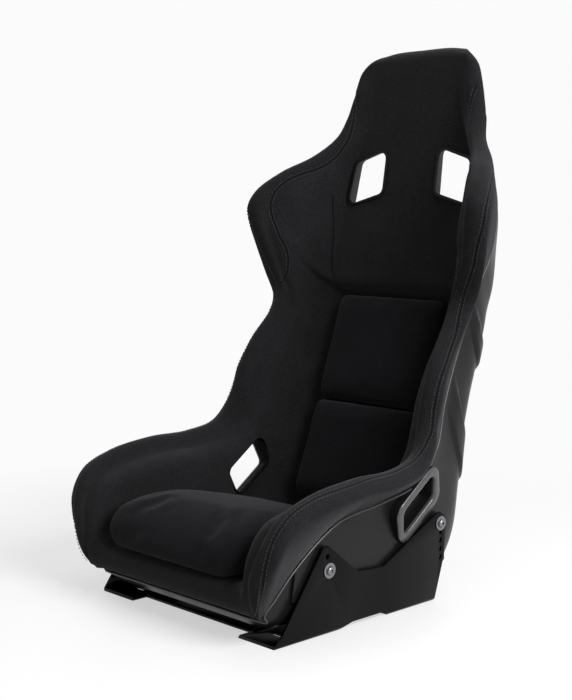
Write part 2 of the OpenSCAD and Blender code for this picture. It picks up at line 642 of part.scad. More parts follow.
// Round trim under the hem, swept along the hem's own points
module hem_trim() {
    half = concat([front_hem(0), front_hem(0.5), front_hem(0.92), front_corner],
        [for (i = [lip:top - 1]) hem_point(i)], [crown_corner, crown_hem(0.92), crown_hem(0.5), crown_hem(0)]);
    color(trim_grey) difference() {
        both_sides() tube(half, hem_r, 6);
        slot_cuts(flange_cut);
    }
}
trim_gap = 0.6;     // between the trim and what it runs along
trim_off = hem_r + trim_gap;
trim_lead = 2;      // further down the wall, clear of the fabric's cut edge
cover_in = moved(skin_grid, fabric_t);
function hem_point(i) = let (g = wall_grid[i - lip], o = wall_out[i - lip], a = mid + 3, b = mid + 4,
    t = sections[i][10] / (sections[i][10] + flare_above_hem))
    lerp(g[a], g[b], (t - 0.2) / 0.8) - (trim_off + trim_lead) * unit(g[b] - g[a])
    + (shell_wall / 2 + trim_off + trim_gap) * unit(o[b] - g[b]);
front_corner = let (h = skin_half(0)) h[9] + [1.5, 2.6 * hem_r, -1.7 * hem_r];
crown_corner = let (h = skin_half(last)) [h[8][0] - trim_off, h[0][1] - trim_off * 2, h[0][2] - trim_off * 1.6];
function front_hem(u) = let (h = skin_half(0)) [u * h[8][0], h[0][1] - 0.5, h[0][2] - trim_off];
function crown_hem(u) = let (h = skin_half(last)) [u * h[8][0], h[0][1] - 0.5, h[0][2] - trim_off];

// Tube along points that never run along this direction
module tube(pts, r, sides) {
    n = len(pts);
    aside = [0, 1, -1];
    points = [for (k = [0:n - 1]) let (
            t = k == 0 || k == n - 1 ? [1, 0, 0] * (k == 0 ? 1 : -1) : unit(pts[k + 1] - pts[k - 1]),
            u = unit(cross(t, aside)), v = cross(u, t))
        each [for (j = [0:sides - 1]) pts[k] + r * (cos(j * 360 / sides) * u + sin(j * 360 / sides) * v)]];
    walls = [for (k = [0:n - 2]) for (j = [0:sides - 1])
        let (a = k * sides + j, b = k * sides + (j + 1) % sides)
        each [[a, b, b + sides], [a, b + sides, a + sides]]];
    ends = [[for (j = [sides - 1:-1:0]) j], [for (j = [0:sides - 1]) (n - 1) * sides + j]];
    polyhedron(points, concat(walls, ends), convexity = 10);
}

module seat_cushion() {
    color(cushion_black) sheet(seat_cushion_top, seat_cushion_foot);
}
module seat_cushion_hook_strips() {
    color(cushion_black) for (i = [6, 7])
        strip(floor_of(i), floor_of(i + 1), hook_from, hook_from + strip_t, 0, strip_w, strip_reach);
}
module seat_cushion_loop_strips() {
    color(knit) for (i = [6, 7])
        strip(floor_of(i), floor_of(i + 1), 0.05, strip_t, 0, strip_w, strip_reach);
}

module lower_back_cushion() {
    color(cushion_black) sheet([for (s = lower_stations) back_row(s, lower_cushion_t, crown_top)],
        [for (s = lower_stations) back_row(s, lower_cushion_t, back_foot)]);
}
module lower_cushion_hook_strips() {
    color(cushion_black) strip(floor_of(12), floor_of(13), hook_from, hook_from + strip_t, 0, strip_w, strip_reach);
}
module lower_cushion_loop_strips() {
    color(knit) strip(floor_of(12), floor_of(13), 0.05, strip_t, 0, strip_w, strip_reach);
}

module upper_back_cushion() {
    color(cushion_black) sheet([for (s = upper_stations) back_row(s, upper_cushion_t, crown_top)],
        [for (s = upper_stations) back_row(s, upper_cushion_t, back_foot)]);
}
module upper_cushion_hook_strips() {
    color(cushion_black) strip(floor_of(15), floor_of(16), hook_from, hook_from + strip_t, 0, strip_w, strip_reach);
}
module upper_cushion_loop_strips() {
    color(knit) strip(floor_of(15), floor_of(16), 0.05, strip_t, 0, strip_w, strip_reach);
}

module lap_slot_bezel() {
    color(trim_grey) on_lap_plane() difference() {
        union() {
            linear_extrude(bezel_flange_t) polygon(lap_outline(lap_flange));
            translate([0, 0, -lap_sleeve_l]) linear_extrude(lap_sleeve_l) polygon(lap_outline(bezel_wall));
        }
        translate([0, 0, -2 * lap_sleeve_l]) linear_extrude(4 * lap_sleeve_l) polygon(lap_outline(0));
    }
}
module lap_slot_bezel_left() { lap_slot_bezel(); }
module lap_slot_bezel_right() { mirror([1, 0, 0]) lap_slot_bezel(); }

module shoulder_slot_trim() {
    behind = shell_floor_of(21) + [shell_wall + 4, 0];
    behind_top = shell_floor_of(23) + [shell_wall + 4, 0];
    color(trim_grey) difference() {
        on_slot_plane() union() {
            translate([0, 0, 0.5]) linear_extrude(shoulder_flange_t) polygon(shoulder_outline(shoulder_flange));
            translate([0, 0, -shoulder_tunnel]) linear_extrude(shoulder_tunnel + 0.5)
                polygon(shoulder_outline(bezel_wall));
        }
        on_slot_plane() translate([0, 0, -2 * shoulder_tunnel]) linear_extrude(4 * shoulder_tunnel)
            polygon(shoulder_outline(0));
        side_plate([behind - [0, inf], [inf, -inf], [inf, inf], behind_top + [0, inf]], 0, inf);
    }
}
module shoulder_slot_trim_left() { shoulder_slot_trim(); }
module shoulder_slot_trim_right() { mirror([1, 0, 0]) shoulder_slot_trim(); }

module bracket_left() { bracket(); }
module bracket_right() { mirror([1, 0, 0]) bracket(); }
module front_cross_strap() { cross_strap(-strap_y); }
module rear_cross_strap() { cross_strap(strap_y); }

module strap_welds() {
    color(gloss_black) for (x = [-strap_half, strap_half], y = [-strap_y, strap_y]) strap_weld(x, y);
}

// Button head bolt with a hexagon socket
module side_bolt(p) {
    head_x = plate_out + washer_t;
    difference() {
        union() {
            rod(bolt_r, bolt_tip, head_x + head_h / 2, p[0], p[1]);
            translate([head_x, p[0], p[1]]) rotate([0, 90, 0]) rotate_extrude($fn = 48) polygon([
                [0, 0], [head_r, 0], [head_r, head_h * 0.25], [head_r * 0.93, head_h * 0.6],
                [head_r * 0.8, head_h * 0.86], [head_r * 0.62, head_h], [0, head_h]]);
        }
        translate([head_x + head_h - key_depth, p[0], p[1]]) rotate([0, 90, 0])
            cylinder(r = key_r, h = head_h, $fn = 6);
    }
}
module side_bolts() {
    color(steel) both_sides() for (p = bolts) side_bolt(p);
}

module ring(r_out, r_in, x0, x1, p) {
    difference() {
        rod(r_out, x0, x1, p[0], p[1]);
        rod(r_in, x0 - 1, x1 + 1, p[0], p[1]);
    }
}
module side_washers() {
    color(steel) both_sides() for (p = bolts)
        ring(washer_r, bolt_r + hole_clear, plate_out, plate_out + washer_t, p);
}
module side_spacers() {
    color(gloss_black) both_sides() for (p = bolts) ring(spacer_r, bolt_r + hole_clear, boss_x, plate_in, p);
}
module shell_inserts() {
    color(steel) both_sides() for (p = bolts)
        ring(insert_r, bolt_r + insert_fit, insert_in, boss_x, p);
}

shell();
front_roll_foam();
base_foam();
back_foam();
head_foam();
crown_roll_foam();
pan_cover();
back_cover();
hem_trim();
seat_cushion();
seat_cushion_hook_strips();
seat_cushion_loop_strips();
lower_back_cushion();
lower_cushion_hook_strips();
lower_cushion_loop_strips();
upper_back_cushion();
upper_cushion_hook_strips();
upper_cushion_loop_strips();
lap_slot_bezel_left();
lap_slot_bezel_right();
shoulder_slot_trim_left();
shoulder_slot_trim_right();
bracket_left();
bracket_right();
front_cross_strap();
rear_cross_strap();
strap_welds();
side_bolts();
side_washers();
side_spacers();
shell_inserts();
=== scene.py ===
"""Racing seat on two bent side brackets: the looks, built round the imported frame.

Lengths in the tables and settings are millimetres, and everything that is made is in metres.
"""

import math

import bmesh
import bpy
import numpy as np
from mathutils import Matrix, Vector, noise


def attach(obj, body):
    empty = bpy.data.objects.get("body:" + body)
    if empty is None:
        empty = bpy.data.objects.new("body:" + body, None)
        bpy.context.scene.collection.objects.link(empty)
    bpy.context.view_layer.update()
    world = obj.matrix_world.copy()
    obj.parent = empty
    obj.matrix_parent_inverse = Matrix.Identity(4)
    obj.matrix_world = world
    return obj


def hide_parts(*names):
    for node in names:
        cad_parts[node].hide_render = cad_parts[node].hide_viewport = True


bl_info = {
    "name": "Bucket racing seat",
    "version": (1, 0, 0),
    "blender": (4, 5, 0),
    "location": "3D View > Sidebar > Seat",
    "description": "Fixed-back bucket racing seat with loose cushions on bent side brackets",
    "category": "Object",
}

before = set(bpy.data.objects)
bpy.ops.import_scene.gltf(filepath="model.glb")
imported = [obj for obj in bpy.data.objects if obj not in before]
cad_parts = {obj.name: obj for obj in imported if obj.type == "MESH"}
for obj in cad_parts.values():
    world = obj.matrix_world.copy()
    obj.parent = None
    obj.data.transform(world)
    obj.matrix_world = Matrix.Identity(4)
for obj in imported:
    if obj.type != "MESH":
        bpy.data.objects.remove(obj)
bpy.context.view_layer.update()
MM = 0.001

# ---- Form of the seat ----

# Cross-sections from the front hem over the pan, up the back and over the crown: padded floor (y, z),
# crest of the roll (y, z), shell floor (y, z), half width of the floor, at a quarter of the wall, under
# the roll and outside, roll radius, shell's half width low on its wall and at the hem, height of the hem
SECTIONS = [
    (-199, 45, -201, 46, -194, 43, 150, 165, 175, 192, 1, 187, 188, 0),
    (-215, 54, -217, 56, -201, 44, 150, 170, 182, 203, 3, 189, 190, 0),
    (-223, 72, -229, 80, -205, 47, 150, 172, 184, 214, 8, 191, 192, 0),
    (-219, 86, -233, 120, -203, 48, 150, 176, 186, 226, 14, 192, 193, 0.05),
    (-205, 92, -222, 168, -194, 43, 150, 178, 184, 248, 19, 190, 192, 0.12),
    (-180, 92, -195, 207, -173, 24, 150, 180, 184, 258, 20, 192, 195, 0.32),
    (-135, 88, -140, 229, -135, 18, 150, 180, 184, 264, 21, 192, 200, 0.53),
    (-55, 76, -55, 241, -55, 18, 150, 180, 184, 268, 22, 192, 205, 0.77),
    (35, 60, 30, 243, 35, 18, 148, 180, 184, 267, 22, 192, 210, 0.84),
    (115, 50, 90, 258, 120, 18, 142, 179, 184, 258, 22, 192, 214, 0.84),
    (160, 55, 117, 290, 175, 22, 136, 178, 184, 251, 22, 192, 213, 0.78),
    (187, 85, 130, 325, 220, 38, 130, 174, 182, 243, 21, 192, 208, 0.75),
    (200, 135, 142, 362, 253, 80, 126, 170, 180, 241, 21, 190, 202, 0.7),
    (233, 220, 167, 408, 271, 150, 126, 164, 176, 233, 20, 186, 195, 0.72),
    (257, 297, 205, 455, 283, 225, 126, 158, 172, 227, 20, 182, 192, 0.76),
    (280, 360, 220, 490, 303, 300, 126, 158, 174, 231, 21, 180, 196, 0.77),
    (300, 420, 213, 540, 320, 365, 126, 166, 190, 253, 22, 184, 210, 0.74),
    (316, 478, 200, 590, 328, 425, 130, 170, 202, 268, 23, 192, 222, 0.64),
    (300, 500, 195, 612, 330, 455, 134, 174, 207, 273, 23, 195, 224, 0.56),
    (306, 530, 193, 645, 336, 495, 144, 178, 210, 278, 24, 200, 226, 0.48),
    (320, 580, 207, 672, 344, 560, 148, 176, 204, 271, 24, 198, 224, 0.44),
    (335, 635, 245, 705, 352, 620, 150, 168, 184, 243, 23, 192, 208, 0.42),
    (346, 690, 293, 735, 363, 680, 146, 152, 158, 205, 21, 168, 176, 0.38),
    (352, 740, 323, 770, 370, 740, 127, 130, 133, 172, 19, 138, 144, 0.28),
    (355, 790, 337, 800, 381, 790, 105, 112, 120, 160, 17, 121, 125, 0.15),
    (358, 850, 345, 853, 390, 850, 95, 102, 112, 147, 14, 106, 109, 0.1),
    (360, 886, 352, 888, 394, 880, 89, 99, 109, 137, 10, 96, 99, 0.1),
    (364, 908, 360, 909, 392, 901, 77, 87, 97, 121, 7, 88, 91, 0.1),
    (378, 917, 378, 918, 395, 904, 65, 77, 89, 103, 2, 89, 92, 0.1),
    (393, 912, 395, 913, 396, 902, 59, 71, 83, 96, 2, 86, 88, 0.1),
    (401, 890, 403, 890, 397, 890, 55, 67, 79, 99, 1, 85, 87, 0.1),
]
# Hem of the cover on the last four sections, at the back of the crown's left corner
CROWN_HEM = [(94, 391, 897), (94, 394, 891), (93.5, 396.5, 888.5), (93, 398, 888)]
SHELL_FRONT = 4
SHELL_TOP = 27
SHELL_HALF = 192
BOSS_X = 202
INSERT_IN = 190

# Middle of a lap slot, its half length and half width, and how far its short sides lean
LAP_CENTRE = (SHELL_HALF + 19, 127, 167)
LAP_HALF = (47, 25)
LAP_LEAN = 8
# Inner and outer edge of a shoulder slot from the middle, and the lower and upper corner of its inner edge;
# how far its outer edge leans and how much lower it lies; the middle of the slot
SHOULDER_EDGES = (62, 136, 30, 108)
SHOULDER_LEAN = 6
SHOULDER_DROP = 22
SHOULDER_CENTRE = (99, 58)
# How far the opening for a slot's sleeve goes past the slot, and the flat round a lap slot for its bezel
SLEEVE_GROW = 3.3
FLAT_GROW = 15

# Front and rear bosses on the shell's side, in side view (y, z)
FRONT_BOSS = [(-146, 60), (-138, 108), (-95, 156), (-20, 166), (62, 134), (84, 100), (88, 64), (64, 56)]
REAR_BOSS = [(164, 62), (168, 136), (176, 143), (195, 143), (204, 134), (206, 62), (199, 56), (171, 56)]
LEDGE = (10, 16)
# How much wider a shoulder slot gets to each side, for each millimetre of its depth
SLOT_FLARE = 0.45
BOLTS = [(-75, 98), (185, 127)]

# Radius of the pocket for an insert
POCKET_R = 8.25

# Stiffening bands across the shell's back, as rows of the table above
BANDS = [(13.2, 14.15), (15.85, 16.55)]

# Sewn lines as (row, column) over the table; a column counts a section's points from the middle
ROLL_SEAM = [(1.2, 10.1), (2.1, 10.2), (2.9, 10.1), (3.5, 9.1), (4.1, 8.5), (5, 8.5), (5.8, 8.5), (6.6, 8.7),
             (7.8, 8.4), (9, 8.4), (9.6, 8.6), (10.4, 8.9), (12.1, 9), (12.9, 9.4), (13.6, 9.3), (14.3, 8.8),
             (15.2, 8.5), (16.5, 8.8), (18.3, 9.4), (19.9, 9.6), (21, 10), (21.6, 10.4)]
WING_SEAM = [(15.2, 7.6), (15.5, 6.6), (15.95, 5.5), (16.45, 5), (17, 4.9), (17.7, 4.95), (18.3, 5.1), (18.8, 5.4),
             (19.3, 5.8), (19.8, 6.2), (20.3, 6.5), (20.7, 6.6), (21.1, 6.4), (21.6, 6.1), (22.2, 6.1), (22.8, 6.5),
             (23.6, 7), (24.3, 7.5), (24.9, 8.8)]
PANEL_CREASE = [(17.4, 3), (18.5, 3.2), (19.5, 3.3), (20.4, 3.5), (21.2, 4)]

# Section of a lap slot's bezel, and of the cloth behind it: how far past the slot, and height over the flat
BEZEL = [(0, -24.1), (0, -3.4), (-2, -3), (-2, 0.2), (-1.2, 2), (0.4, 3.1), (2.6, 3.6), (6, 3.5), (10.5, 3.2),
         (12.6, 2.7), (13.8, 1.7), (14.2, 0.5), (14, -0.02), (3, -0.06), (2.9, -24)]
LINING = [(3.2, -24.2), (-0.1, -24.3), (-0.1, -3.6), (-1.7, -4), (-1.7, -28.6), (3.2, -29)]

# Lights as name, place, side and power, and the camera's place, angles, lens and sensor
LIGHTS = [("key", (2.5, -0.1, 1.7), 1.5, 108), ("front", (-0.3, -2.6, 2.2), 1.8, 9), ("top", (0.2, 0.5, 2.8), 1.6, 14)]
LIT_SPOT = (0, 0.05, 0.4)
CAMERA_PLACE = (1.535, -1.451, 0.634)
CAMERA_ANGLES = (45.89, 6.12, 0.17)
LENS = 67.3
SENSOR = 36


def linear(code):
    """Linear red, green, blue of an sRGB hex colour."""
    parts = [int(code[k:k + 2], 16) / 255 for k in (1, 3, 5)]
    return tuple(c / 12.92 if c <= 0.04045 else ((c + 0.055) / 1.055) ** 2.4 for c in parts)


def between(a, b, t):
    return a + (b - a) * t


def eased(t):
    """Share from 0 to 1 with a soft start and end."""
    return t * t * (3 - 2 * t)


def mirrored(half):
    """Whole row from its half, from the middle out."""
    other = half[:0:-1].copy()
    other[:, 0] *= -1
    return np.concatenate([other, half])


def across(x, point):
    return (x, point[0], point[1])


def section_points(row):
    """Floor, knee of the roll and the direction up the wall, in y and z."""
    floor, crest = np.array(row[0:2], float), np.array(row[2:4], float)
    up = (crest - floor) / np.linalg.norm(crest - floor)
    return floor, crest - row[10] * up, up


def skin_row(row):
    """Outer face of the fabric at one section, from the middle out to the hem."""
    floor, knee, up = section_points(row)
    x_floor, x_wall, x_under, w, r = row[6:11]
    return np.array([
        across(0, floor), across(0.5 * x_floor, floor), across(0.86 * x_floor, floor), across(x_floor, floor),
        across(x_wall, between(floor, knee, 0.28)), across(x_under, between(floor, knee, 0.9)),
        across(w - 2 * r, knee), across(w - 1.7 * r, knee + 0.7 * r * up), across(w - r, knee + r * up),
        across(w - 0.3 * r, knee + 0.7 * r * up), across(w, knee),
        across(row[12] + 6, between(np.array(row[4:6], float), knee, row[13]))])


def wall_row(row):
    """Middle of the shell's wall at one section, from the middle out to the rim."""
    floor, knee, up = section_points(row)
    low = np.array(row[4:6], float)
    flare = row[13] + 0.05
    xs = row[11]
    return np.array([
        across(0, low), across(0.5 * (xs - 45), low), across(0.85 * (xs - 45), low), across(xs - 45, low),
        across(xs - 14, between(low, knee, 0.05 * flare)), across(xs, between(low, knee, 0.2 * flare)),
        across(row[12], between(low, knee, flare)), across(row[9] - row[10], knee)])


def through(points, counts):
    """Smooth lines through rows of points, with so many steps between each two rows."""
    gaps = np.maximum(np.linalg.norm(np.diff(points, axis=0), axis=2), 1e-6)[..., None] ** 0.5
    slopes = np.diff(points, axis=0) / gaps
    bend = np.empty_like(points)
    bend[1:-1] = (slopes[:-1] * gaps[1:] + slopes[1:] * gaps[:-1]) / (gaps[:-1] + gaps[1:])
    bend[0], bend[-1] = slopes[0], slopes[-1]
    rows = []
    for k, count in enumerate(counts):
        for u in np.arange(count) / count:
            rows.append((2 * u ** 3 - 3 * u ** 2 + 1) * points[k] + (3 * u ** 2 - 2 * u ** 3) * points[k + 1]
                        + gaps[k] * ((u ** 3 - 2 * u ** 2 + u) * bend[k] + (u ** 3 - u ** 2) * bend[k + 1]))
    rows.append(points[-1])
    return np.array(rows)


def steps_between(points, step):
    lengths = np.linalg.norm(np.diff(points, axis=0), axis=2).mean(axis=1)
    return [max(1, int(round(length / step))) for length in lengths]


def places(counts, start):
    """Row or column number of every fine row or column."""
    return np.array([start + k + j / n for k, n in enumerate(counts) for j in range(n)] + [start + len(counts)])


class Loft:
    """Finely divided surface through the sections, in millimetres."""

    def __init__(self, rows, first, step):
        across_counts = steps_between(rows.transpose(1, 0, 2), step)
        along_counts = steps_between(rows, step)
        along = through(rows, along_counts)
        self.points = through(along.transpose(1, 0, 2), across_counts).transpose(1, 0, 2)
        self.rows = places(along_counts, first)
        self.columns = places(across_counts, -(rows.shape[1] - 1) / 2)
        self.normals = grid_normals(self.points)

    def at(self, row, column):
        """Point and normal of the surface at a row and column of the table."""
        r = np.interp(row, self.rows, np.arange(len(self.rows)))
        c = np.interp(column, self.columns, np.arange(len(self.columns)))
        i, j = min(int(r), len(self.rows) - 2), min(int(c), len(self.columns) - 2)
        found = []
        for grid in (self.points, self.normals):
            near = between(grid[i, j], grid[i, j + 1], c - j)
            far = between(grid[i + 1, j], grid[i + 1, j + 1], c - j)
            found.append(between(near, far, r - i))
        return found

    def line(self, stations, side=1, step=2.0):
        """Points and normals along a sewn line, evenly spaced."""
        table = np.array(stations, float)
        t = np.arange(len(table))
        fine = np.linspace(0, len(table) - 1, 40 * len(table))
        smooth = through(table[:, None, :], [40] * (len(table) - 1))[:, 0, :]
        u = np.linspace(0, len(table) - 1, len(smooth))
        spots = [self.at(np.interp(f, u, smooth[:, 0]), side * np.interp(f, u, smooth[:, 1])) for f in fine]
        points, normals = np.array([s[0] for s in spots]), np.array([s[1] for s in spots])
        run = np.concatenate([[0], np.cumsum(np.linalg.norm(np.diff(points, axis=0), axis=1))])
        even = np.arange(0, run[-1], step)
        return (np.stack([np.interp(even, run, points[:, k]) for k in range(3)], 1),
                np.stack([np.interp(even, run, normals[:, k]) for k in range(3)], 1))


def grid_normals(points):
    n = np.cross(np.gradient(points, axis=1), np.gradient(points, axis=0))
    n /= np.maximum(np.linalg.norm(n, axis=2, keepdims=True), 1e-9)
    return n if n[len(n) // 4, n.shape[1] // 2, 2] > 0 else -n


def off_line(points, normals, line):
    """Signed distance across the surface from a sewn line, or a large number away from it."""
    path, _ = line
    run = np.gradient(path, axis=0)
    run /= np.linalg.norm(run, axis=1, keepdims=True)
    out = np.full(len(points), 60.0)
    low, high = path.min(0) - 30, path.max(0) + 30
    near = np.nonzero(np.all((points > low) & (points < high), axis=1))[0]
    for chunk in np.array_split(near, max(1, len(near) // 1500)):
        if not len(chunk):
            continue
        apart = ((points[chunk, None, :] - path[None, :, :]) ** 2).sum(2)
        k = apart.argmin(1)
        close = apart[np.arange(len(chunk)), k] < 30 ** 2
        v = points[chunk] - path[k]
        along = np.abs((v * run[k]).sum(1))
        lateral = (v * np.cross(normals[chunk], run[k])).sum(1)
        out[chunk[close & (along < 4)]] = lateral[close & (along < 4)]
    return out


# ---- Objects ----

def new_piece(name, mesh, body, finish, stands_for=()):
    """Object from a mesh or bmesh that rides on a body, wears a material and replaces its CAD nodes."""
    if isinstance(mesh, bmesh.types.BMesh):
        made = bpy.data.meshes.new(name)
        mesh.to_mesh(made)
        mesh.free()
        mesh = made
    piece = bpy.data.objects.new(name, mesh)
    bpy.context.scene.collection.objects.link(piece)
    mesh.materials.clear()
    mesh.materials.append(finish)
    mesh.shade_smooth()
    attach(piece, body)
    if stands_for:
        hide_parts(*stands_for)
    return piece


def apply_modifiers(piece):
    graph = bpy.context.evaluated_depsgraph_get()
    mesh = bpy.data.meshes.new_from_object(piece.evaluated_get(graph))
    piece.modifiers.clear()
    piece.data = mesh


def grid_bmesh(points):
    """Grid of faces through a grid of points, with its outer face along the grid's normals."""
    rows, columns = points.shape[:2]
    bm = bmesh.new()
    uv = bm.loops.layers.uv.new("UVMap")
    bmesh.ops.create_grid(bm, x_segments=columns - 1, y_segments=rows - 1, size=1)
    bm.verts.ensure_lookup_table()
    across_run = np.concatenate([[0], np.cumsum(np.linalg.norm(np.diff(points, axis=1), axis=2).mean(0))])
    along_run = np.concatenate([[0], np.cumsum(np.linalg.norm(np.diff(points, axis=0), axis=2).mean(1))])
    flat = points.reshape(-1, 3) * MM
    for vert, place in zip(bm.verts, flat):
        vert.co = place
    for face in bm.faces:
        for loop in face.loops:
            r, c = divmod(loop.vert.index, columns)
            loop[uv].uv = (across_run[c] * MM, along_run[r] * MM)
    bm.normal_update()
    normal = grid_normals(points)[rows // 4, columns // 2]
    middle = bm.verts[(rows // 4) * columns + columns // 2]
    if middle.normal.dot(Vector(normal)) < 0:
        bmesh.ops.reverse_faces(bm, faces=bm.faces[:])
    return bm


def outline(corners, radius, steps=8):
    """Closed outline with rounded corners, as a list of points in a plane."""
    pts = np.array(corners, float)
    out = []
    for k, p in enumerate(pts):
        a = pts[k - 1] - p
        b = pts[(k + 1) % len(pts)] - p
        a, b = a / np.linalg.norm(a), b / np.linalg.norm(b)
        half = math.acos(float(a @ b)) / 2
        mid = (a + b) / np.linalg.norm(a + b)
        centre = p + mid * radius / math.sin(half)
        start, end = p + a * radius / math.tan(half) - centre, p + b * radius / math.tan(half) - centre
        turn = math.acos(max(-1, min(1, float(start @ end) / radius ** 2)))
        for s in range(steps + 1):
            w = s / steps
            out.append(centre + (start * math.sin((1 - w) * turn) + end * math.sin(w * turn)) / math.sin(turn))
    return np.array(out)


def lap_outline(grow):
    length, width, lean = LAP_HALF[0] + grow, LAP_HALF[1] + grow, LAP_LEAN
    return outline([(-length - lean, -width), (length - lean, -width), (length + lean, width),
                    (-length + lean, width)], 13 + grow * 0.8)


def shoulder_outline(grow):
    x0, x1, z0, z1 = np.array(SHOULDER_EDGES) + np.array((-grow, grow, -grow, grow))
    return outline([(x0, z0), (x1 + SHOULDER_LEAN, z0 - SHOULDER_DROP), (x1 - SHOULDER_LEAN, z1 - SHOULDER_DROP),
                    (x0, z1)], 12 + grow * 0.8)


def flared(points, depth):
    """Outline of a shoulder slot, widened as it goes back."""
    middle = np.array(SHOULDER_CENTRE, float)
    return middle + (np.array(points) - middle) * (1 + SLOT_FLARE * depth / 38)


def side_plane(side):
    """Frame of the seat's side: x runs back, y up and z out of the side."""
    return Matrix(((0, 0, side, 0), (1, 0, 0, 0), (0, 1, 0, 0), (0, 0, 0, 1)))


def lap_plane(side):
    """Frame of a lap slot: x and y in its plane, z out of the seat's side."""
    turn = (Matrix.Rotation(math.radians(36), 4, "X") @ Matrix.Rotation(math.radians(15), 4, "Y")
            @ Matrix.Rotation(math.radians(90), 4, "Z") @ Matrix.Rotation(math.radians(90), 4, "X"))
    place = Matrix.Translation(LAP_CENTRE) @ turn
    return place if side > 0 else Matrix.Diagonal((-1, 1, 1, 1)) @ place


def shoulder_plane(side):
    """Frame of a shoulder slot: x and y in the plane of the back, z out of its front."""
    foot, head = SECTIONS[21][0:2], SECTIONS[23][0:2]
    tilt = math.atan2(head[0] - foot[0], head[1] - foot[1])
    place = Matrix.Translation((0, foot[0], foot[1])) @ Matrix.Rotation(math.radians(90) - tilt, 4, "X")
    return place if side > 0 else Matrix.Diagonal((-1, 1, 1, 1)) @ place


def bridged(bm, rings, place, closed=False):
    """Skin over rings of points (in-plane outline, height) set in a frame; the ends are capped or joined."""
    loops = []
    for points, height in rings:
        verts = [bm.verts.new(place @ Vector((p[0], p[1], height)) * MM) for p in points]
        loops.append((verts, [bm.edges.new((verts[k - 1], verts[k])) for k in range(len(verts))]))
    pairs = list(zip(loops, loops[1:])) + ([(loops[-1], loops[0])] if closed else [])
    faces = []
    for low, high in pairs:
        faces += bmesh.ops.bridge_loops(bm, edges=low[1] + high[1])["faces"]
    if not closed:
        faces += [bm.faces.new(loops[0][0]), bm.faces.new(loops[-1][0])]
    bmesh.ops.recalc_face_normals(bm, faces=faces)
    return faces


def plain_object(name, bm):
    """Object with no material from a bmesh, for a shape that is only needed for a while."""
    mesh = bpy.data.meshes.new(name)
    bm.to_mesh(mesh)
    bm.free()
    made = bpy.data.objects.new(name, mesh)
    bpy.context.scene.collection.objects.link(made)
    return made


def on_both_sides(rings, plane):
    """Blocks through these rings on the left and on the right, for cut_out."""
    return [(rings, plane(side)) for side in (1, -1)]


def cut_out(piece, blocks, overlapping=False):
    """Takes blocks out of a piece for good."""
    bm = bmesh.new()
    for rings, place in blocks:
        bridged(bm, rings, place)
    tool = plain_object("cutter", bm)
    cut = piece.modifiers.new("cut", "BOOLEAN")
    cut.operation = "DIFFERENCE"
    cut.solver = "EXACT"
    cut.use_self = overlapping
    cut.object = tool
    apply_modifiers(piece)
    mesh = tool.data
    bpy.data.objects.remove(tool)
    bpy.data.meshes.remove(mesh)


def merged_copy(node):
    """Copy of a CAD node's mesh with its loose triangles joined."""
    bm = bmesh.new()
    bm.from_mesh(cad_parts[node].data)
    bmesh.ops.remove_doubles(bm, verts=bm.verts[:], dist=2e-6)
    return bm


def bevelled_copy(node, width, segments=2):
    bm = merged_copy(node)
    bmesh.ops.dissolve_limit(bm, angle_limit=math.radians(2), verts=bm.verts[:], edges=bm.edges[:])
    sharp = [e for e in bm.edges if e.is_manifold and e.calc_face_angle(0) > math.radians(30)]
    bmesh.ops.bevel(bm, geom=sharp, offset=width * MM, offset_type="OFFSET", segments=segments, profile=0.5,
                    affect="EDGES", clamp_overlap=True, material=-1)
    bmesh.ops.triangulate(bm, faces=[f for f in bm.faces if len(f.verts) > 4])
    return bm


def hard_edges(piece, degrees=32):
    piece.data.set_sharp_from_angle(angle=math.radians(degrees))


def smoothed(bm, times):
    for _ in range(times):
        bmesh.ops.smooth_vert(bm, verts=bm.verts[:], factor=0.5, use_axis_x=True, use_axis_y=True, use_axis_z=True)


def vectors(mesh, name):
    """Places or normals of a mesh's points, as an array."""
    values = np.empty(len(mesh.vertices) * 3)
    mesh.vertices.foreach_get(name, values)
    return values.reshape(-1, 3)


# ---- Materials ----

def add(tree, kind, sockets=None, **settings):
    """Adds a shader node, with its settings, and its inputs given as values or as sockets to link."""
    made = tree.nodes.new(kind)
    for name, value in settings.items():
        setattr(made, name, value)
    for name, value in (sockets or {}).items():
        if isinstance(value, bpy.types.NodeSocket):
            tree.links.new(value, made.inputs[name])
        else:
            made.inputs[name].default_value = value
    return made


def coarse(size_mm):
    """Scale of a pattern whose features are so many millimetres wide."""
    return 1000.0 / size_mm


def start_material(name, **surface):
    """New material with its shader, its tree and the piece's own coordinates."""
    material = bpy.data.materials.new(name)
    material.use_nodes = True
    tree = material.node_tree
    tree.nodes.clear()
    shader = add(tree, "ShaderNodeBsdfPrincipled",
                 {key.replace("_", " ").title().replace("Ior", "IOR"): value for key, value in surface.items()})
    out = add(tree, "ShaderNodeOutputMaterial")
    tree.links.new(shader.outputs[0], out.inputs["Surface"])
    where = add(tree, "ShaderNodeTexCoord").outputs["Object"]
    return material, tree, shader, where


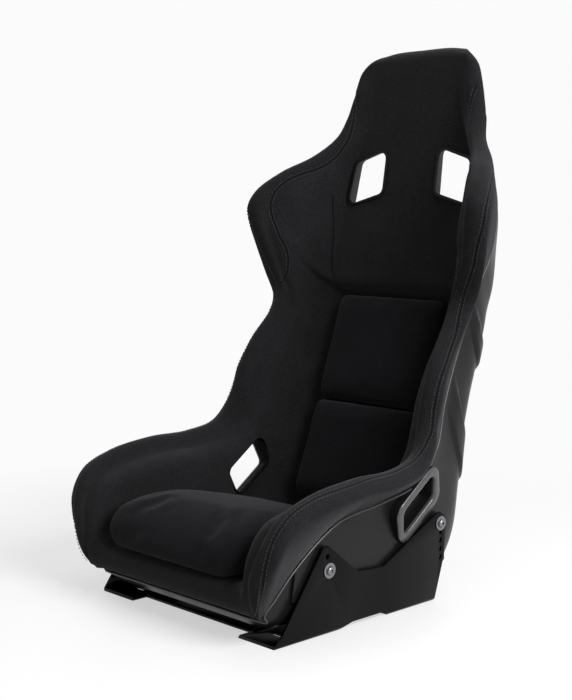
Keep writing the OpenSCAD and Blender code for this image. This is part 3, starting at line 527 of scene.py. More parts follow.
def knit_fabric(name, dark, light, heather_mm, sheen, seams=()):
    """Warp-knitted polyester over foam: matt, with a grey fleck in the yarn and a soft sheen at its edges; along each
    sewn line the groove is bumped in and darkened with painted shade.
    """
    material, tree, shader, where = start_material(
        name, roughness=0.95, specular_ior_level=0.1, sheen_weight=sheen, sheen_roughness=0.45,
        sheen_tint=(0.75, 0.74, 0.78, 1))
    fleck = add(tree, "ShaderNodeTexNoise",
                {"Vector": where, "Scale": coarse(heather_mm), "Detail": 3.0, "Roughness": 0.75})
    cloud = add(tree, "ShaderNodeTexNoise", {"Vector": where, "Scale": coarse(70), "Detail": 3.0})
    yarn = add(tree, "ShaderNodeMapRange",
               {"Value": fleck.outputs["Fac"], "From Min": 0.33, "From Max": 0.68}, interpolation_type="SMOOTHSTEP")
    blend = add(tree, "ShaderNodeMix", {"Factor": yarn.outputs["Result"]}, data_type="RGBA")
    for socket, value in ((blend.inputs[6], (*dark, 1)), (blend.inputs[7], (*light, 1))):
        socket.default_value = value
    shade = add(tree, "ShaderNodeMapRange",
                {"Value": cloud.outputs["Fac"], "From Min": 0.3, "From Max": 0.7, "To Min": 0.86, "To Max": 1.14})
    tone = add(tree, "ShaderNodeVectorMath", {0: blend.outputs[2], "Scale": shade.outputs["Result"]},
               operation="SCALE")
    colour = tone.outputs["Vector"]
    loops = add(tree, "ShaderNodeTexVoronoi", {"Vector": where, "Scale": coarse(1.3)})
    height = add(tree, "ShaderNodeMath", {0: loops.outputs["Distance"], 1: fleck.outputs["Fac"]}, operation="ADD")
    level = height.outputs[0]
    for seam in seams:
        apart = add(tree, "ShaderNodeAttribute", attribute_name=seam)
        size = add(tree, "ShaderNodeMath", {0: apart.outputs["Fac"]}, operation="ABSOLUTE")
        groove = add(tree, "ShaderNodeMapRange", {"Value": size.outputs[0], "From Min": 0.3, "From Max": 2.2,
                                                  "To Min": 1.0, "To Max": 0.0}, interpolation_type="SMOOTHSTEP")
        deep = add(tree, "ShaderNodeMath", {0: groove.outputs["Result"], 1: -4.0, 2: level},
                   operation="MULTIPLY_ADD")
        level = deep.outputs[0]
        # Painted shade: inside each seam's and crease's groove the colour is darkened to as little as 30%, where shade
        # would fall.
        seam_painted_shade = add(tree, "ShaderNodeMath", {0: groove.outputs["Result"], 1: -0.7, 2: 1.0},
                  operation="MULTIPLY_ADD")
        seam_shaded_colour = add(tree, "ShaderNodeVectorMath", {0: colour, "Scale": seam_painted_shade.outputs[0]}, operation="SCALE")
        colour = seam_shaded_colour.outputs["Vector"]
    tree.links.new(colour, shader.inputs["Base Color"])
    bump = add(tree, "ShaderNodeBump", {"Height": level, "Strength": 0.55, "Distance": 0.0006})
    tree.links.new(bump.outputs["Normal"], shader.inputs["Normal"])
    return material


def moulded(name, colour, roughness, grain_mm, grain_depth, coat=0.0, scuff=0.08, **surface):
    """Moulded or painted skin: a fine texture in the surface and a slightly uneven gloss."""
    material, tree, shader, where = start_material(name, roughness=roughness, coat_weight=coat,
                                                   coat_roughness=0.06, **surface)
    grain = add(tree, "ShaderNodeTexNoise",
                {"Vector": where, "Scale": coarse(grain_mm), "Detail": 2.0, "Roughness": 0.5})
    patch = add(tree, "ShaderNodeTexNoise", {"Vector": where, "Scale": coarse(45), "Detail": 5.0, "Roughness": 0.7})
    gloss = add(tree, "ShaderNodeMapRange",
                {"Value": patch.outputs["Fac"], "From Min": 0.3, "From Max": 0.7,
                 "To Min": max(0.02, roughness - scuff), "To Max": roughness + scuff})
    shade = add(tree, "ShaderNodeMapRange",
                {"Value": patch.outputs["Fac"], "From Min": 0.3, "From Max": 0.7, "To Min": 0.9, "To Max": 1.1})
    tone = add(tree, "ShaderNodeVectorMath", {0: colour, "Scale": shade.outputs["Result"]}, operation="SCALE")
    bump = add(tree, "ShaderNodeBump", {"Height": grain.outputs["Fac"], "Strength": 0.5, "Distance": grain_depth * MM})
    tree.links.new(tone.outputs["Vector"], shader.inputs["Base Color"])
    tree.links.new(gloss.outputs["Result"], shader.inputs["Roughness"])
    tree.links.new(bump.outputs["Normal"], shader.inputs["Normal"])
    return material


def tape(name, colour, pile_mm):
    """Woven hook or loop tape: a coarse pile of hooks or loops, with a painted highlight on each loop's top and
    painted shade between the loops.
    """
    material, tree, shader, where = start_material(name, roughness=0.8, sheen_weight=0.2, sheen_roughness=0.5)
    pile = add(tree, "ShaderNodeTexVoronoi", {"Vector": where, "Scale": coarse(pile_mm)})
    # Painted highlight and shade: the colour is raised to 1.3 times on each loop's top and lowered to 0.55 times in
    # the gaps, where the bump sinks.
    shade = add(tree, "ShaderNodeMapRange", {"Value": pile.outputs["Distance"], "From Max": 0.6, "To Min": 1.3,
                                             "To Max": 0.55})
    tone = add(tree, "ShaderNodeVectorMath", {0: colour, "Scale": shade.outputs["Result"]}, operation="SCALE")
    bump = add(tree, "ShaderNodeBump", {"Height": pile.outputs["Distance"], "Strength": 0.8, "Distance": 0.0005},
               invert=True)
    tree.links.new(tone.outputs["Vector"], shader.inputs["Base Color"])
    tree.links.new(bump.outputs["Normal"], shader.inputs["Normal"])
    return material


def seen_directly(tree):
    """Socket that is 1 where the camera sees a surface itself, in a mirror or through something clear."""
    path = add(tree, "ShaderNodeLightPath")
    seen = path.outputs["Is Camera Ray"]
    for name in ("Is Glossy Ray", "Is Transmission Ray"):
        seen = add(tree, "ShaderNodeMath", {0: seen, 1: path.outputs[name]}, operation="MAXIMUM").outputs[0]
    return seen


def studio_floor():
    """Pale seamless studio floor: keeps a soft shadow and fades into the backdrop."""
    material, tree, shader, where = start_material("studio_floor", roughness=0.6)
    colour = bpy.context.scene.seat_colours.backdrop
    speck = add(tree, "ShaderNodeTexNoise", {"Vector": where, "Scale": coarse(60)})
    shade = add(tree, "ShaderNodeMapRange", {"Value": speck.outputs["Fac"], "To Min": 0.40, "To Max": 0.42})
    tone = add(tree, "ShaderNodeVectorMath", {0: tuple(colour), "Scale": shade.outputs["Result"]}, operation="SCALE")
    tree.links.new(tone.outputs["Vector"], shader.inputs["Base Color"])
    glow = add(tree, "ShaderNodeEmission", {"Color": (*colour, 1), "Strength": 0.56})
    seen = seen_directly(tree)
    dark = add(tree, "ShaderNodeEmission", {"Color": (0, 0, 0, 1), "Strength": 0.0})
    extra = add(tree, "ShaderNodeMixShader", {"Fac": seen, 1: dark.outputs[0], 2: glow.outputs[0]})
    lit = add(tree, "ShaderNodeAddShader", {0: shader.outputs[0], 1: extra.outputs[0]})
    plain = add(tree, "ShaderNodeEmission", {"Color": (*colour, 1), "Strength": 1.0})
    reach = add(tree, "ShaderNodeVectorMath", {0: where}, operation="LENGTH")
    far = add(tree, "ShaderNodeMapRange", {"Value": reach.outputs["Value"], "From Min": 0.55, "From Max": 1.3},
              interpolation_type="SMOOTHSTEP")
    away = add(tree, "ShaderNodeMath", {0: far.outputs["Result"], 1: seen}, operation="MULTIPLY")
    blend = add(tree, "ShaderNodeMixShader", {"Fac": away.outputs[0], 1: lit.outputs[0], 2: plain.outputs[0]})
    out = [n for n in tree.nodes if n.type == "OUTPUT_MATERIAL"][0]
    tree.links.new(blend.outputs[0], out.inputs["Surface"])
    return material


FINISHES = {}


def finish(name):
    """Material of this name, made when it is first asked for."""
    colours = bpy.context.scene.seat_colours
    makers = {
        # Knitted polyester with a fleck that is drawn about 1.5 mm wide, so that it shows; along the seams and creases
        # named here the colour carries painted shade
        "knitted_polyester": lambda: knit_fabric(
            "knitted_polyester", tuple(colours.knit), tuple(colours.knit_fleck), 1.5, 0.10,
            ("roll_seam_left", "roll_seam_right", "wing_seam_left", "wing_seam_right",
             "crease_left", "crease_right")),
        # Finer brushed knit on the loose cushions, smoother and a little cooler in tone
        "brushed_knit": lambda: knit_fabric(
            "brushed_knit", tuple(colours.cushion), tuple(colours.cushion_fleck), 1.6, 0.06),
        # Bonded polyester thread, a shade paler than the cloth it lies on
        "bonded_thread": lambda: moulded("bonded_thread", tuple(colours.thread), 0.6, 1.2, 0.1),
        # Moulded shell with a satin gelcoat: soft highlights and a faint unevenness
        "satin_gelcoat": lambda: moulded("satin_gelcoat", tuple(colours.shell), 0.34, 9, 0.25, specular_ior_level=0.2),
        # Extruded edge trim in flexible PVC
        "extruded_pvc": lambda: moulded("extruded_pvc", tuple(colours.trim), 0.35, 3, 0.1),
        # Injection-moulded ABS bezel with a satin spark finish
        "moulded_abs": lambda: moulded("moulded_abs", tuple(colours.bezel), 0.32, 1.5, 0.12),
        # Black polypropylene liner through the back
        "moulded_polypropylene": lambda: moulded("moulded_polypropylene", tuple(colours.liner), 0.6, 1.5, 0.12,
                                                 specular_ior_level=0.15),
        # Gloss powder coat on steel plate: mirror-like, with a slight orange peel
        "gloss_powder_coat": lambda: moulded("gloss_powder_coat", tuple(colours.paint), 0.09, 3.5, 0.03,
                                             scuff=0.03, specular_ior_level=0.11),
        # Turned nylon spacer
        "turned_nylon": lambda: moulded("turned_nylon", tuple(colours.liner), 0.4, 1.0, 0.05),
        # Zinc-plated steel, bright with a fine brushed grain
        "zinc_plated_steel": lambda: moulded("zinc_plated_steel", tuple(colours.steel), 0.33, 0.8, 0.03,
                                             metallic=1.0),
        # Woven hook tape and knitted loop tape
        "hook_tape": lambda: tape("hook_tape", tuple(colours.cushion_fleck), 1.5),
        "loop_tape": lambda: tape("loop_tape", tuple(colours.knit_fleck), 2.0),
    }
    if name not in FINISHES:
        FINISHES[name] = makers[name]()
    return FINISHES[name]


# ---- Sizes and colours that a user may change ----

def length(name, description, default, low, high):
    return bpy.props.FloatProperty(name=name, description=description, default=default, min=low, max=high)


def colour(name, description, code):
    return bpy.props.FloatVectorProperty(name=name, description=description, default=linear(code), size=3,
                                         min=0, max=1, subtype="COLOR")


class SeatSizes(bpy.types.PropertyGroup):
    step: length("Cell size", "Side of a cell of the seat's surface, in millimetres", 6.0, 4, 12)
    fabric: length("Fabric", "Thickness of the fabric, in millimetres", 2.0, 1, 3)
    wall: length("Shell wall", "Thickness of the shell, in millimetres", 4.0, 3, 5)
    band: length("Band height", "Height of the bands across the back, in millimetres", 5.0, 3, 8)
    stitch: length("Stitch length", "Length of one stitch, in millimetres", 4.0, 2, 8)
    stitch_gap: length("Stitch gap", "Space between two stitches, in millimetres", 1.6, 0.5, 4)
    thread: length("Thread", "Thickness of the thread, in millimetres", 1.1, 0.5, 2)
    seam_half: length("Seam half width", "Distance from a seam's fold to each row of stitches, in millimetres",
                      3.4, 2, 6)
    seam_depth: length("Seam depth", "How far a seam pulls the padding in, in millimetres", 1.6, 0, 4)
    edge: length("Plate edge", "Rounding of a bracket's edges, in millimetres", 0.7, 0.2, 1.5)
    hem_radius: length("Trim radius", "Radius of the hem trim, in millimetres", 2.0, 1.5, 2.5)
    voxel: length("Cushion cell", "Cell size of a cushion's surface, in millimetres", 6.0, 4, 10)


class SeatColours(bpy.types.PropertyGroup):
    knit: colour("Knit", "Ground of the seat's knitted cover", "#0b0a0b")
    knit_fleck: colour("Knit fleck", "Fleck in the seat's knitted cover", "#252426")
    cushion: colour("Cushion", "Ground of the cushions' cloth", "#0a090b")
    cushion_fleck: colour("Cushion fleck", "Fleck in the cushions' cloth", "#151417")
    thread: colour("Thread", "Thread of the sewn lines", "#222123")
    shell: colour("Shell", "Moulded shell", "#111112")
    trim: colour("Trim", "Trim along the hem", "#262627")
    bezel: colour("Bezel", "Bezels of the lap belt slots", "#3a3a3c")
    liner: colour("Liner", "Liners of the shoulder belt slots", "#0d0d0e")
    paint: colour("Paint", "Paint of the brackets and straps", "#040404")
    steel: colour("Steel", "Bolts and washers", "#7d7d80")
    backdrop: colour("Backdrop", "Floor and backdrop", "#fbfbfb")


# ---- Operators ----

LOFTS = {}


def skin_loft():
    if "skin" not in LOFTS:
        sizes = bpy.context.scene.seat_sizes
        step = sizes.step * 1
        rows = np.array([mirrored(skin_row(s)) for s in SECTIONS])
        # At the head end the padding fills the hollow beside each roll, and the crown's corners are soft
        head = np.clip((np.arange(len(rows)) - 22.5) / 2, 0, 1)[:, None]
        for column, share in ((4, 0.2), (5, 0.5), (6, 0.8), (7, 0.96)):
            for side in (1, -1):
                place, crest = rows[:, 11 + side * column, 1:], rows[:, 11 + side * 8, 1:]
                place += head * share * (crest - place)
        crown = np.clip((rows[..., 2] - 880) / 35, 0, 1)
        rows[..., 0] *= 1 - 0.05 * crown
        rows[..., 2] -= 6 * crown * np.clip((np.abs(rows[..., 0]) - 45) / 50, 0, 1) ** 2
        rows[-4:, -1] = CROWN_HEM
        rows[-4:, 0] = np.array(CROWN_HEM) * (-1, 1, 1)
        skin = Loft(rows, 0, step)
        soft = (np.clip((skin.rows - 24) / 2.5, 0, 1)[:, None] * np.clip(10.9 - np.abs(skin.columns), 0, 1))[..., None]
        for _ in range(int(500 / step ** 2)):
            middle = 0.5 * (skin.points[:, :-2] + skin.points[:, 2:])
            skin.points[:, 1:-1] += 0.8 * soft[:, 1:-1] * (middle - skin.points[:, 1:-1])
        skin.normals = grid_normals(skin.points)
        LOFTS["skin"] = skin
    return LOFTS["skin"]


def sewn_lines():
    """The sewn lines of both sides, by name."""
    skin = skin_loft()
    return {f"{name}_{word}": skin.line(stations, side)
            for name, stations in (("roll_seam", ROLL_SEAM), ("wing_seam", WING_SEAM), ("crease", PANEL_CREASE))
            for word, side in (("left", 1), ("right", -1))}


def shell_cuts():
    """Ways through for the sleeves of the four slots."""
    lap, shoulder = lap_outline(SLEEVE_GROW), shoulder_outline(SLEEVE_GROW)
    return (on_both_sides([(lap, -45), (lap, 45)], lap_plane)
            + on_both_sides([(flared(shoulder, 60), -60), (shoulder, 0), (shoulder, 8)], shoulder_plane))


def flat_for_bezel():
    """Room over the flat on which each lap slot's bezel lies."""
    return on_both_sides([(lap_outline(FLAT_GROW), -8), (lap_outline(FLAT_GROW), 45)], lap_plane)


class SEAT_OT_shell(bpy.types.Operator):
    """Moulded shell with the bands across its back and the bosses on its sides"""
    bl_idname = "seat.shell"
    bl_label = "Shell"

    def execute(self, context):
        sizes = context.scene.seat_sizes
        rows = np.array([mirrored(wall_row(s)) for s in SECTIONS[SHELL_FRONT:SHELL_TOP + 1]])
        rows[0] = between(rows[0], rows[1], 0.04)
        rows[-1] = between(rows[-1], rows[-2], 0.04)
        # The rim draws in at the crown, where the padding over it is thin
        rows[-2:, [0, -1]] = between(rows[-2:, [1, -2]], rows[-2:, [0, -1]], 0.3)
        wall = Loft(rows, SHELL_FRONT, sizes.step * (0.9))
        reach = np.clip((5.75 - np.abs(wall.columns)) / 0.35, 0, 1)
        lift = np.zeros(len(wall.rows))
        for low, high in BANDS:
            lift = np.maximum(lift, np.clip(np.minimum(wall.rows - low, high - wall.rows) / 0.13, 0, 1))
        points = wall.points - wall.normals * sizes.band * (eased(lift)[:, None] * eased(reach)[None, :])[..., None]
        piece = new_piece("moulded_shell", grid_bmesh(points), "seat", finish("satin_gelcoat"),
                          ("shell",))
        thick = piece.modifiers.new("wall", "SOLIDIFY")
        thick.thickness = sizes.wall * MM
        thick.offset = 0
        apply_modifiers(piece)
        cut_out(piece, shell_cuts())
        bm = bmesh.new()
        foot = [(y + LEDGE[0], z + LEDGE[1]) if z > 100 else (y, z) for y, z in FRONT_BOSS]
        front, rear = outline(FRONT_BOSS, 3), outline(REAR_BOSS, 3)
        for side in (1, -1):
            upright = side_plane(side)
            bridged(bm, [(outline(foot, 3), INSERT_IN), (front, BOSS_X - 1),
                         (front * 0.995 + np.array((-0.15, 0.5)), BOSS_X)], upright)
            bridged(bm, [(rear, INSERT_IN), (rear, BOSS_X)], upright)
            bridged(bm, [(lap_outline(14), -22), (lap_outline(14), -0.05)], lap_plane(side))
        holder = plain_object("bosses", bm)
        pockets = []
        for side in (1, -1):
            for y, z in BOLTS:
                ring = [(y + POCKET_R * math.cos(a), z + POCKET_R * math.sin(a))
                        for a in np.linspace(0, 2 * math.pi, 33)[:-1]]
                pockets.append(([(ring, INSERT_IN - 0.3), (ring, BOSS_X + 1)], side_plane(side)))
        cut_out(holder, shell_cuts() + pockets, overlapping=True)
        whole = bmesh.new()
        whole.from_mesh(piece.data)
        whole.from_mesh(holder.data)
        bpy.data.objects.remove(holder)
        whole.to_mesh(piece.data)
        whole.free()
        piece.data.shade_smooth()
        hard_edges(piece, 40)
        return {"FINISHED"}


class SEAT_OT_cover(bpy.types.Operator):
    """Knitted cover over the foam, from the front hem over the rolls to the crown"""
    bl_idname = "seat.cover"
    bl_label = "Cover"

    def execute(self, context):
        sizes = context.scene.seat_sizes
        skin = skin_loft()
        points = skin.points.copy()
        flat, normals = skin.points.reshape(-1, 3), skin.normals.reshape(-1, 3)
        drop = np.zeros(len(flat))
        for name, line in sewn_lines().items():
            width, depth = (7.0, sizes.seam_depth) if "seam" in name else (8.0, 1.2)
            drop = np.maximum(drop, depth * np.exp(-(off_line(flat, normals, line) / width) ** 2))
        for k, p in enumerate(flat):
            drop[k] += 0.5 * noise.noise(Vector((abs(p[0]), p[1], p[2])) / 55.0)
        points -= skin.normals * drop.reshape(points.shape[:2])[..., None]
        piece = new_piece("knitted_cover", grid_bmesh(points), "seat", finish("knitted_polyester"),
                          ("pan_cover", "back_cover", "front_roll_foam", "base_foam", "back_foam", "head_foam",
                           "crown_roll_foam"))
        thick = piece.modifiers.new("cloth", "SOLIDIFY")
        thick.thickness = sizes.fabric * MM
        thick.offset = -1
        apply_modifiers(piece)
        cut_out(piece, shell_cuts())
        ledge = [(shoulder_outline(6), 0.2), (shoulder_outline(6), 8)]
        cut_out(piece, flat_for_bezel() + on_both_sides(ledge, shoulder_plane))
        mesh = piece.data
        spots, directions = vectors(mesh, "co") / MM, vectors(mesh, "normal")
        for name, line in sewn_lines().items():
            layer = mesh.attributes.new(name, "FLOAT", "POINT")
            layer.data.foreach_set("value", off_line(spots, directions, line).astype(np.float32))
        mesh.shade_smooth()
        hard_edges(piece, 50)
        return {"FINISHED"}


class SEAT_OT_stitches(bpy.types.Operator):
    """Two rows of stitches along each sewn line"""
    bl_idname = "seat.stitches"
    bl_label = "Stitches"

    def execute(self, context):
        sizes = context.scene.seat_sizes
        whole = bmesh.new()
        for name, (path, normals) in sewn_lines().items():
            if "seam" not in name:
                continue
            run = np.gradient(path, axis=0)
            run /= np.linalg.norm(run, axis=1, keepdims=True)
            aside = np.cross(normals, run)
            aside /= np.linalg.norm(aside, axis=1, keepdims=True)
            sink = sizes.seam_depth * math.exp(-(sizes.seam_half / 7.0) ** 2) - 0.25 * sizes.thread
            size = Matrix.Diagonal((0.5 * sizes.thread * MM, 0.5 * sizes.thread * MM, 0.5 * sizes.stitch * MM, 1))
            stride = (sizes.stitch + sizes.stitch_gap) / 2.0
            for row in (-1, 1):
                spots = np.arange(2, len(path) - 3, stride).astype(int)
                for part in np.array_split(spots, max(1, len(spots) // 25)):
                    bm = bmesh.new()
                    for i in part:
                        centre = path[i] + row * sizes.seam_half * aside[i] - normals[i] * sink
                        turn = Matrix((aside[i], normals[i], run[i])).transposed().to_4x4()
                        bmesh.ops.create_uvsphere(bm, u_segments=6, v_segments=4, radius=1,
                                                  matrix=Matrix.Translation(Vector(centre) * MM) @ turn @ size)
                    few = bpy.data.meshes.new("few")
                    bm.to_mesh(few)
                    bm.free()
                    whole.from_mesh(few)
                    bpy.data.meshes.remove(few)
        new_piece("seam_stitches", whole, "seat", finish("bonded_thread"))
        return {"FINISHED"}


def hem_path():
    """Middle of the hem trim on the left side, from the middle of the front to the middle of the crown."""
    walls = np.array([mirrored(wall_row(s)) for s in SECTIONS[SHELL_FRONT:SHELL_TOP + 1]])
    normals = -grid_normals(walls)
    skins = [skin_row(s) for s in SECTIONS]
    off = 2.6
    points = [(u * skins[0][10][0], skins[0][0][1] - 0.5, skins[0][0][2] - off) for u in (0, 0.5, 0.92)]
    points.append(skins[0][11] + np.array((1.5, 5.2, -3.4)))
    for k in range(SHELL_TOP - SHELL_FRONT):
        share = SECTIONS[k + SHELL_FRONT][13]
        low, high = walls[k][7 + 5], walls[k][7 + 6]
        along = (high - low) / np.linalg.norm(high - low)
        points.append(between(low, high, (share / (share + 0.05) - 0.2) / 0.8) - (off + 2) * along
                      + (2 + off + 0.6) * normals[k][7 + 6])
    end = skins[-1]
    points.append((end[10][0] - off, end[0][1] - 2 * off, end[0][2] - 1.6 * off))
    points += [(u * end[10][0], end[0][1] - 0.5, end[0][2] - off) for u in (0.92, 0.5, 0)]
    half = np.array([np.array(p, float) for p in points])
    return through(half[:, None, :], [6] * (len(half) - 1))[:, 0, :]


class SEAT_OT_trim(bpy.types.Operator):
    """Round trim under the hem of the cover"""
    bl_idname = "seat.trim"
    bl_label = "Hem trim"

    def execute(self, context):
        half = hem_path()
        other = half[-2:0:-1] * np.array((-1, 1, 1))
        path = np.concatenate([half, other])
        curve = bpy.data.curves.new("trim", "CURVE")
        curve.dimensions = "3D"
        curve.bevel_depth = context.scene.seat_sizes.hem_radius * MM
        curve.bevel_resolution = 2
        line = curve.splines.new("POLY")
        line.points.add(len(path) - 1)
        for point, place in zip(line.points, path):
            point.co = (*(place * MM), 1)
        line.use_cyclic_u = True
        holder = bpy.data.objects.new("trim", curve)
        context.scene.collection.objects.link(holder)
        mesh = bpy.data.meshes.new_from_object(holder.evaluated_get(context.evaluated_depsgraph_get()))
        bpy.data.objects.remove(holder)
        piece = new_piece("edge_trim", mesh, "seat", finish("extruded_pvc"), ("hem_trim",))
        cut_out(piece, flat_for_bezel())
        piece.data.shade_smooth()
        hard_edges(piece, 50)
        return {"FINISHED"}


def stuffed_cushion(name, node, shrink, cap):
    """Cushion blown up from the CAD form by a short cloth simulation, its foot held flat.

    The form is first drawn in by shrink, and no point then moves further than cap, both in millimetres.
    The body has the node's name.
    """
    scene = bpy.context.scene
    sizes = scene.seat_sizes
    piece = new_piece(name, merged_copy(node), node, finish("brushed_knit"), (node,))
    remesh = piece.modifiers.new("cells", "REMESH")
    remesh.mode = "VOXEL"
    remesh.voxel_size = sizes.voxel * MM * 1
    apply_modifiers(piece)
    bm = bmesh.new()
    bm.from_mesh(piece.data)
    smoothed(bm, 5)
    bm.normal_update()
    for vert in bm.verts:
        vert.co -= vert.normal * shrink * MM
    bm.to_mesh(piece.data)
    bm.free()
    rest, normal = vectors(piece.data, "co"), vectors(piece.data, "normal")
    down = np.array((0, 0, -1) if node == "seat_cushion" else (0, 0.936, -0.352))
    held = piece.vertex_groups.new(name="held")
    held.add([int(k) for k in np.nonzero(normal @ down > 0.75)[0]], 1.0, "REPLACE")
    cloth = piece.modifiers.new("cloth", "CLOTH")
    cloth.settings.use_pressure = True
    cloth.settings.uniform_pressure_force = 4
    cloth.settings.quality = 5
    cloth.settings.tension_stiffness = 12
    cloth.settings.compression_stiffness = 12
    cloth.settings.bending_stiffness = 1.5
    cloth.settings.vertex_group_mass = "held"
    cloth.settings.effector_weights.gravity = 0
    cloth.point_cache.frame_start = 1
    cloth.point_cache.frame_end = 20
    for k in range(1, 21):
        scene.frame_set(k)
    apply_modifiers(piece)
    scene.frame_set(1)
    step = vectors(piece.data, "co") - rest
    far = np.linalg.norm(step, axis=1, keepdims=True)
    moved = rest + step * np.minimum(1, cap * MM / np.maximum(far, 1e-9))
    piece.data.vertices.foreach_set("co", moved.ravel())
    piece.vertex_groups.clear()
    bm = bmesh.new()
    bm.from_mesh(piece.data)
    smoothed(bm, 3)
    bm.to_mesh(piece.data)
    bm.free()
    smooth = piece.modifiers.new("smooth", "SUBSURF")
    smooth.levels = smooth.render_levels = 1
    apply_modifiers(piece)
    piece.data.shade_smooth()
    return piece


class SEAT_OT_cushions(bpy.types.Operator):
    """Loose seat cushion and the two loose back cushions"""
    bl_idname = "seat.cushions"
    bl_label = "Cushions"

    def execute(self, context):
        stuffed_cushion("seat_pad", "seat_cushion", 0.5, 8.0)
        stuffed_cushion("lower_back_pad", "lower_back_cushion", 0.8, 2.0)
        stuffed_cushion("upper_back_pad", "upper_back_cushion", 0.8, 2.0)
        return {"FINISHED"}


class SEAT_OT_bezels(bpy.types.Operator):
    """Bezel and sleeve of each lap belt slot"""
    bl_idname = "seat.bezels"
    bl_label = "Lap slot bezels"

    def execute(self, context):
        for word, side in (("left", 1), ("right", -1)):
            bm = bmesh.new()
            bridged(bm, [(lap_outline(grow), height) for grow, height in BEZEL], lap_plane(side), closed=True)
            piece = new_piece(f"lap_bezel_{word}", bm, "seat", finish("moulded_abs"),
                              (f"lap_slot_bezel_{word}",))
            hard_edges(piece, 40)
        return {"FINISHED"}


class SEAT_OT_linings(bpy.types.Operator):
    """Cloth that lines each lap belt slot behind its bezel"""
    bl_idname = "seat.linings"
    bl_label = "Slot linings"

    def execute(self, context):
        bm = bmesh.new()
        for side in (1, -1):
            bridged(bm, [(lap_outline(grow), height) for grow, height in LINING], lap_plane(side), closed=True)
        new_piece("slot_linings", bm, "seat", finish("knitted_polyester"))
        return {"FINISHED"}


class SEAT_OT_liners(bpy.types.Operator):
    """Liner of each shoulder belt slot"""
    bl_idname = "seat.liners"
    bl_label = "Shoulder slot liners"

    def execute(self, context):
        for word, side in (("left", 1), ("right", -1)):
            bm = bevelled_copy(f"shoulder_slot_trim_{word}", 0.6)
            place = shoulder_plane(side)
            back = place.inverted()
            for vert in bm.verts:
                x, y, height = back @ (vert.co / MM)
                vert.co = place @ Vector((*flared((x, y), max(0, -height)), height)) * MM
            piece = new_piece(f"shoulder_liner_{word}", bm, "seat", finish("moulded_polypropylene"),
                              (f"shoulder_slot_trim_{word}",))
            hard_edges(piece)
        return {"FINISHED"}


class SEAT_OT_brackets(bpy.types.Operator):
    """Bent side brackets, the cross straps and their welds"""
    bl_idname = "seat.brackets"
    bl_label = "Brackets and straps"

    def execute(self, context):
        edge = context.scene.seat_sizes.edge
        for node in ("bracket_left", "bracket_right", "front_cross_strap", "rear_cross_strap"):
            piece = new_piece(f"painted_{node}", bevelled_copy(node, edge, 3), "seat", finish("gloss_powder_coat"),
                              (node,))
            hard_edges(piece)
        bm = merged_copy("strap_welds")
        bmesh.ops.subdivide_edges(bm, edges=[e for e in bm.edges if e.calc_length() > 0.01], cuts=14)
        bmesh.ops.triangulate(bm, faces=bm.faces[:])
        for vert in bm.verts:
            if vert.co.z > 0.0042:
                vert.co.z += 0.0003 * math.sin(vert.co.y / MM * 1.6)
        piece = new_piece("painted_welds", bm, "seat", finish("gloss_powder_coat"),
                          ("strap_welds",))
        hard_edges(piece, 60)
        return {"FINISHED"}


class SEAT_OT_fasteners(bpy.types.Operator):
    """Side bolts with their washers, spacers and the inserts in the shell"""
    bl_idname = "seat.fasteners"
    bl_label = "Bolts"

    def execute(self, context):
        for node, name, look, slot, edge in (
                ("side_bolts", "button_head_bolts", "zinc_plated_steel", "bolt_steel", 0.2),
                ("side_washers", "plain_washers", "zinc_plated_steel", "bolt_steel", 0.3),
                ("side_spacers", "plain_spacers", "turned_nylon", "spacer_paint", 0.3),
                ("shell_inserts", "threaded_inserts", "zinc_plated_steel", "insert_steel", 0.2)):
            piece = new_piece(name, bevelled_copy(node, edge), "seat", finish(look), (node,))
            hard_edges(piece)
        return {"FINISHED"}


class SEAT_OT_tapes(bpy.types.Operator):
    """Hook strips under the cushions and loop strips on the cover"""
    bl_idname = "seat.tapes"
    bl_label = "Hook and loop strips"

    def execute(self, context):
        for name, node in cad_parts.items():
            if name.endswith("hook_strips") or name.endswith("loop_strips"):
                node.data.materials.clear()
                node.data.materials.append(finish("hook_tape" if "hook" in name else "loop_tape"))
        return {"FINISHED"}


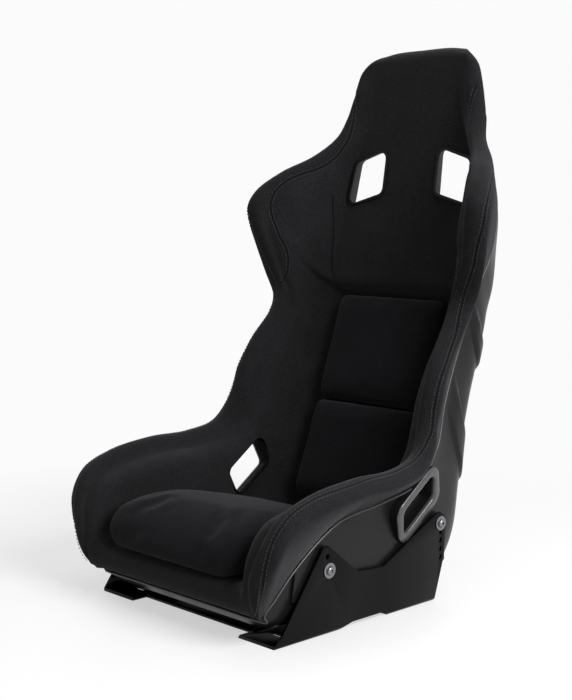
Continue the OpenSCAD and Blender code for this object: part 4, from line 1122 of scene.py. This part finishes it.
class SEAT_OT_stage(bpy.types.Operator):
    """Pale floor, soft lights and the camera"""
    bl_idname = "seat.stage"
    bl_label = "Stage"

    def execute(self, context):
        scene = context.scene
        scene.view_settings.view_transform = "Standard"
        bm = bmesh.new()
        bmesh.ops.create_grid(bm, x_segments=2, y_segments=2, size=6)
        ground = plain_object("floor", bm)
        ground.data.materials.append(studio_floor())
        backdrop = tuple(scene.seat_colours.backdrop)
        world = bpy.data.worlds.new("studio")
        world.use_nodes = True
        scene.world = world
        tree = world.node_tree
        tree.nodes.clear()
        plain = add(tree, "ShaderNodeBackground", {"Color": (*backdrop, 1), "Strength": 1.0})
        soft = add(tree, "ShaderNodeBackground", {"Color": (*backdrop, 1), "Strength": 0.24})
        blend = add(tree, "ShaderNodeMixShader",
                    {"Fac": seen_directly(tree), 1: soft.outputs[0], 2: plain.outputs[0]})
        out = add(tree, "ShaderNodeOutputWorld")
        tree.links.new(blend.outputs[0], out.inputs["Surface"])
        for name, place, size, power in LIGHTS:
            lamp = bpy.data.lights.new(name, "AREA")
            lamp.shape = "SQUARE"
            lamp.size = size
            lamp.energy = power
            holder = bpy.data.objects.new(name, lamp)
            holder.location = place
            holder.rotation_mode = "QUATERNION"
            holder.rotation_quaternion = (Vector(LIT_SPOT) - Vector(place)).to_track_quat("-Z", "Y")
            scene.collection.objects.link(holder)
        lens = bpy.data.cameras.new("camera")
        lens.lens = LENS
        lens.sensor_width = SENSOR
        camera = bpy.data.objects.new("camera", lens)
        azimuth, fall, roll = (math.radians(angle) for angle in CAMERA_ANGLES)
        ahead = Vector((-math.sin(azimuth) * math.cos(fall), math.cos(azimuth) * math.cos(fall), -math.sin(fall)))
        right = Vector((math.cos(azimuth), math.sin(azimuth), 0))
        up = right.cross(ahead)
        right, up = (right * math.cos(roll) + up * math.sin(roll), up * math.cos(roll) - right * math.sin(roll))
        camera.rotation_mode = "QUATERNION"
        camera.rotation_quaternion = Matrix((right, up, -ahead)).transposed().to_quaternion()
        camera.location = CAMERA_PLACE
        scene.collection.objects.link(camera)
        scene.camera = camera
        return {"FINISHED"}


class SEAT_PT_panel(bpy.types.Panel):
    """Sizes, colours and pieces of the seat"""
    bl_idname = "SEAT_PT_panel"
    bl_label = "Seat"
    bl_space_type = "VIEW_3D"
    bl_region_type = "UI"
    bl_category = "Seat"

    def draw(self, context):
        for group in (context.scene.seat_sizes, context.scene.seat_colours):
            box = self.layout.box()
            for name in group.__annotations__:
                box.prop(group, name)
        for operator in OPERATORS:
            self.layout.operator(operator.bl_idname)


OPERATORS = (SEAT_OT_stage, SEAT_OT_shell, SEAT_OT_cover, SEAT_OT_stitches, SEAT_OT_trim, SEAT_OT_cushions,
             SEAT_OT_bezels, SEAT_OT_linings, SEAT_OT_liners, SEAT_OT_brackets, SEAT_OT_fasteners, SEAT_OT_tapes)
CLASSES = (SeatSizes, SeatColours, *OPERATORS, SEAT_PT_panel)


def register():
    for cls in CLASSES:
        bpy.utils.register_class(cls)
    bpy.types.Scene.seat_sizes = bpy.props.PointerProperty(type=SeatSizes)
    bpy.types.Scene.seat_colours = bpy.props.PointerProperty(type=SeatColours)


def unregister():
    del bpy.types.Scene.seat_colours
    del bpy.types.Scene.seat_sizes
    for cls in reversed(CLASSES):
        bpy.utils.unregister_class(cls)


def main():
    register()
    bpy.ops.seat.stage()
    bpy.ops.seat.shell()
    bpy.ops.seat.cover()
    bpy.ops.seat.stitches()
    bpy.ops.seat.trim()
    bpy.ops.seat.cushions()
    bpy.ops.seat.bezels()
    bpy.ops.seat.linings()
    bpy.ops.seat.liners()
    bpy.ops.seat.brackets()
    bpy.ops.seat.fasteners()
    bpy.ops.seat.tapes()


if __name__ == "__main__":
    main()
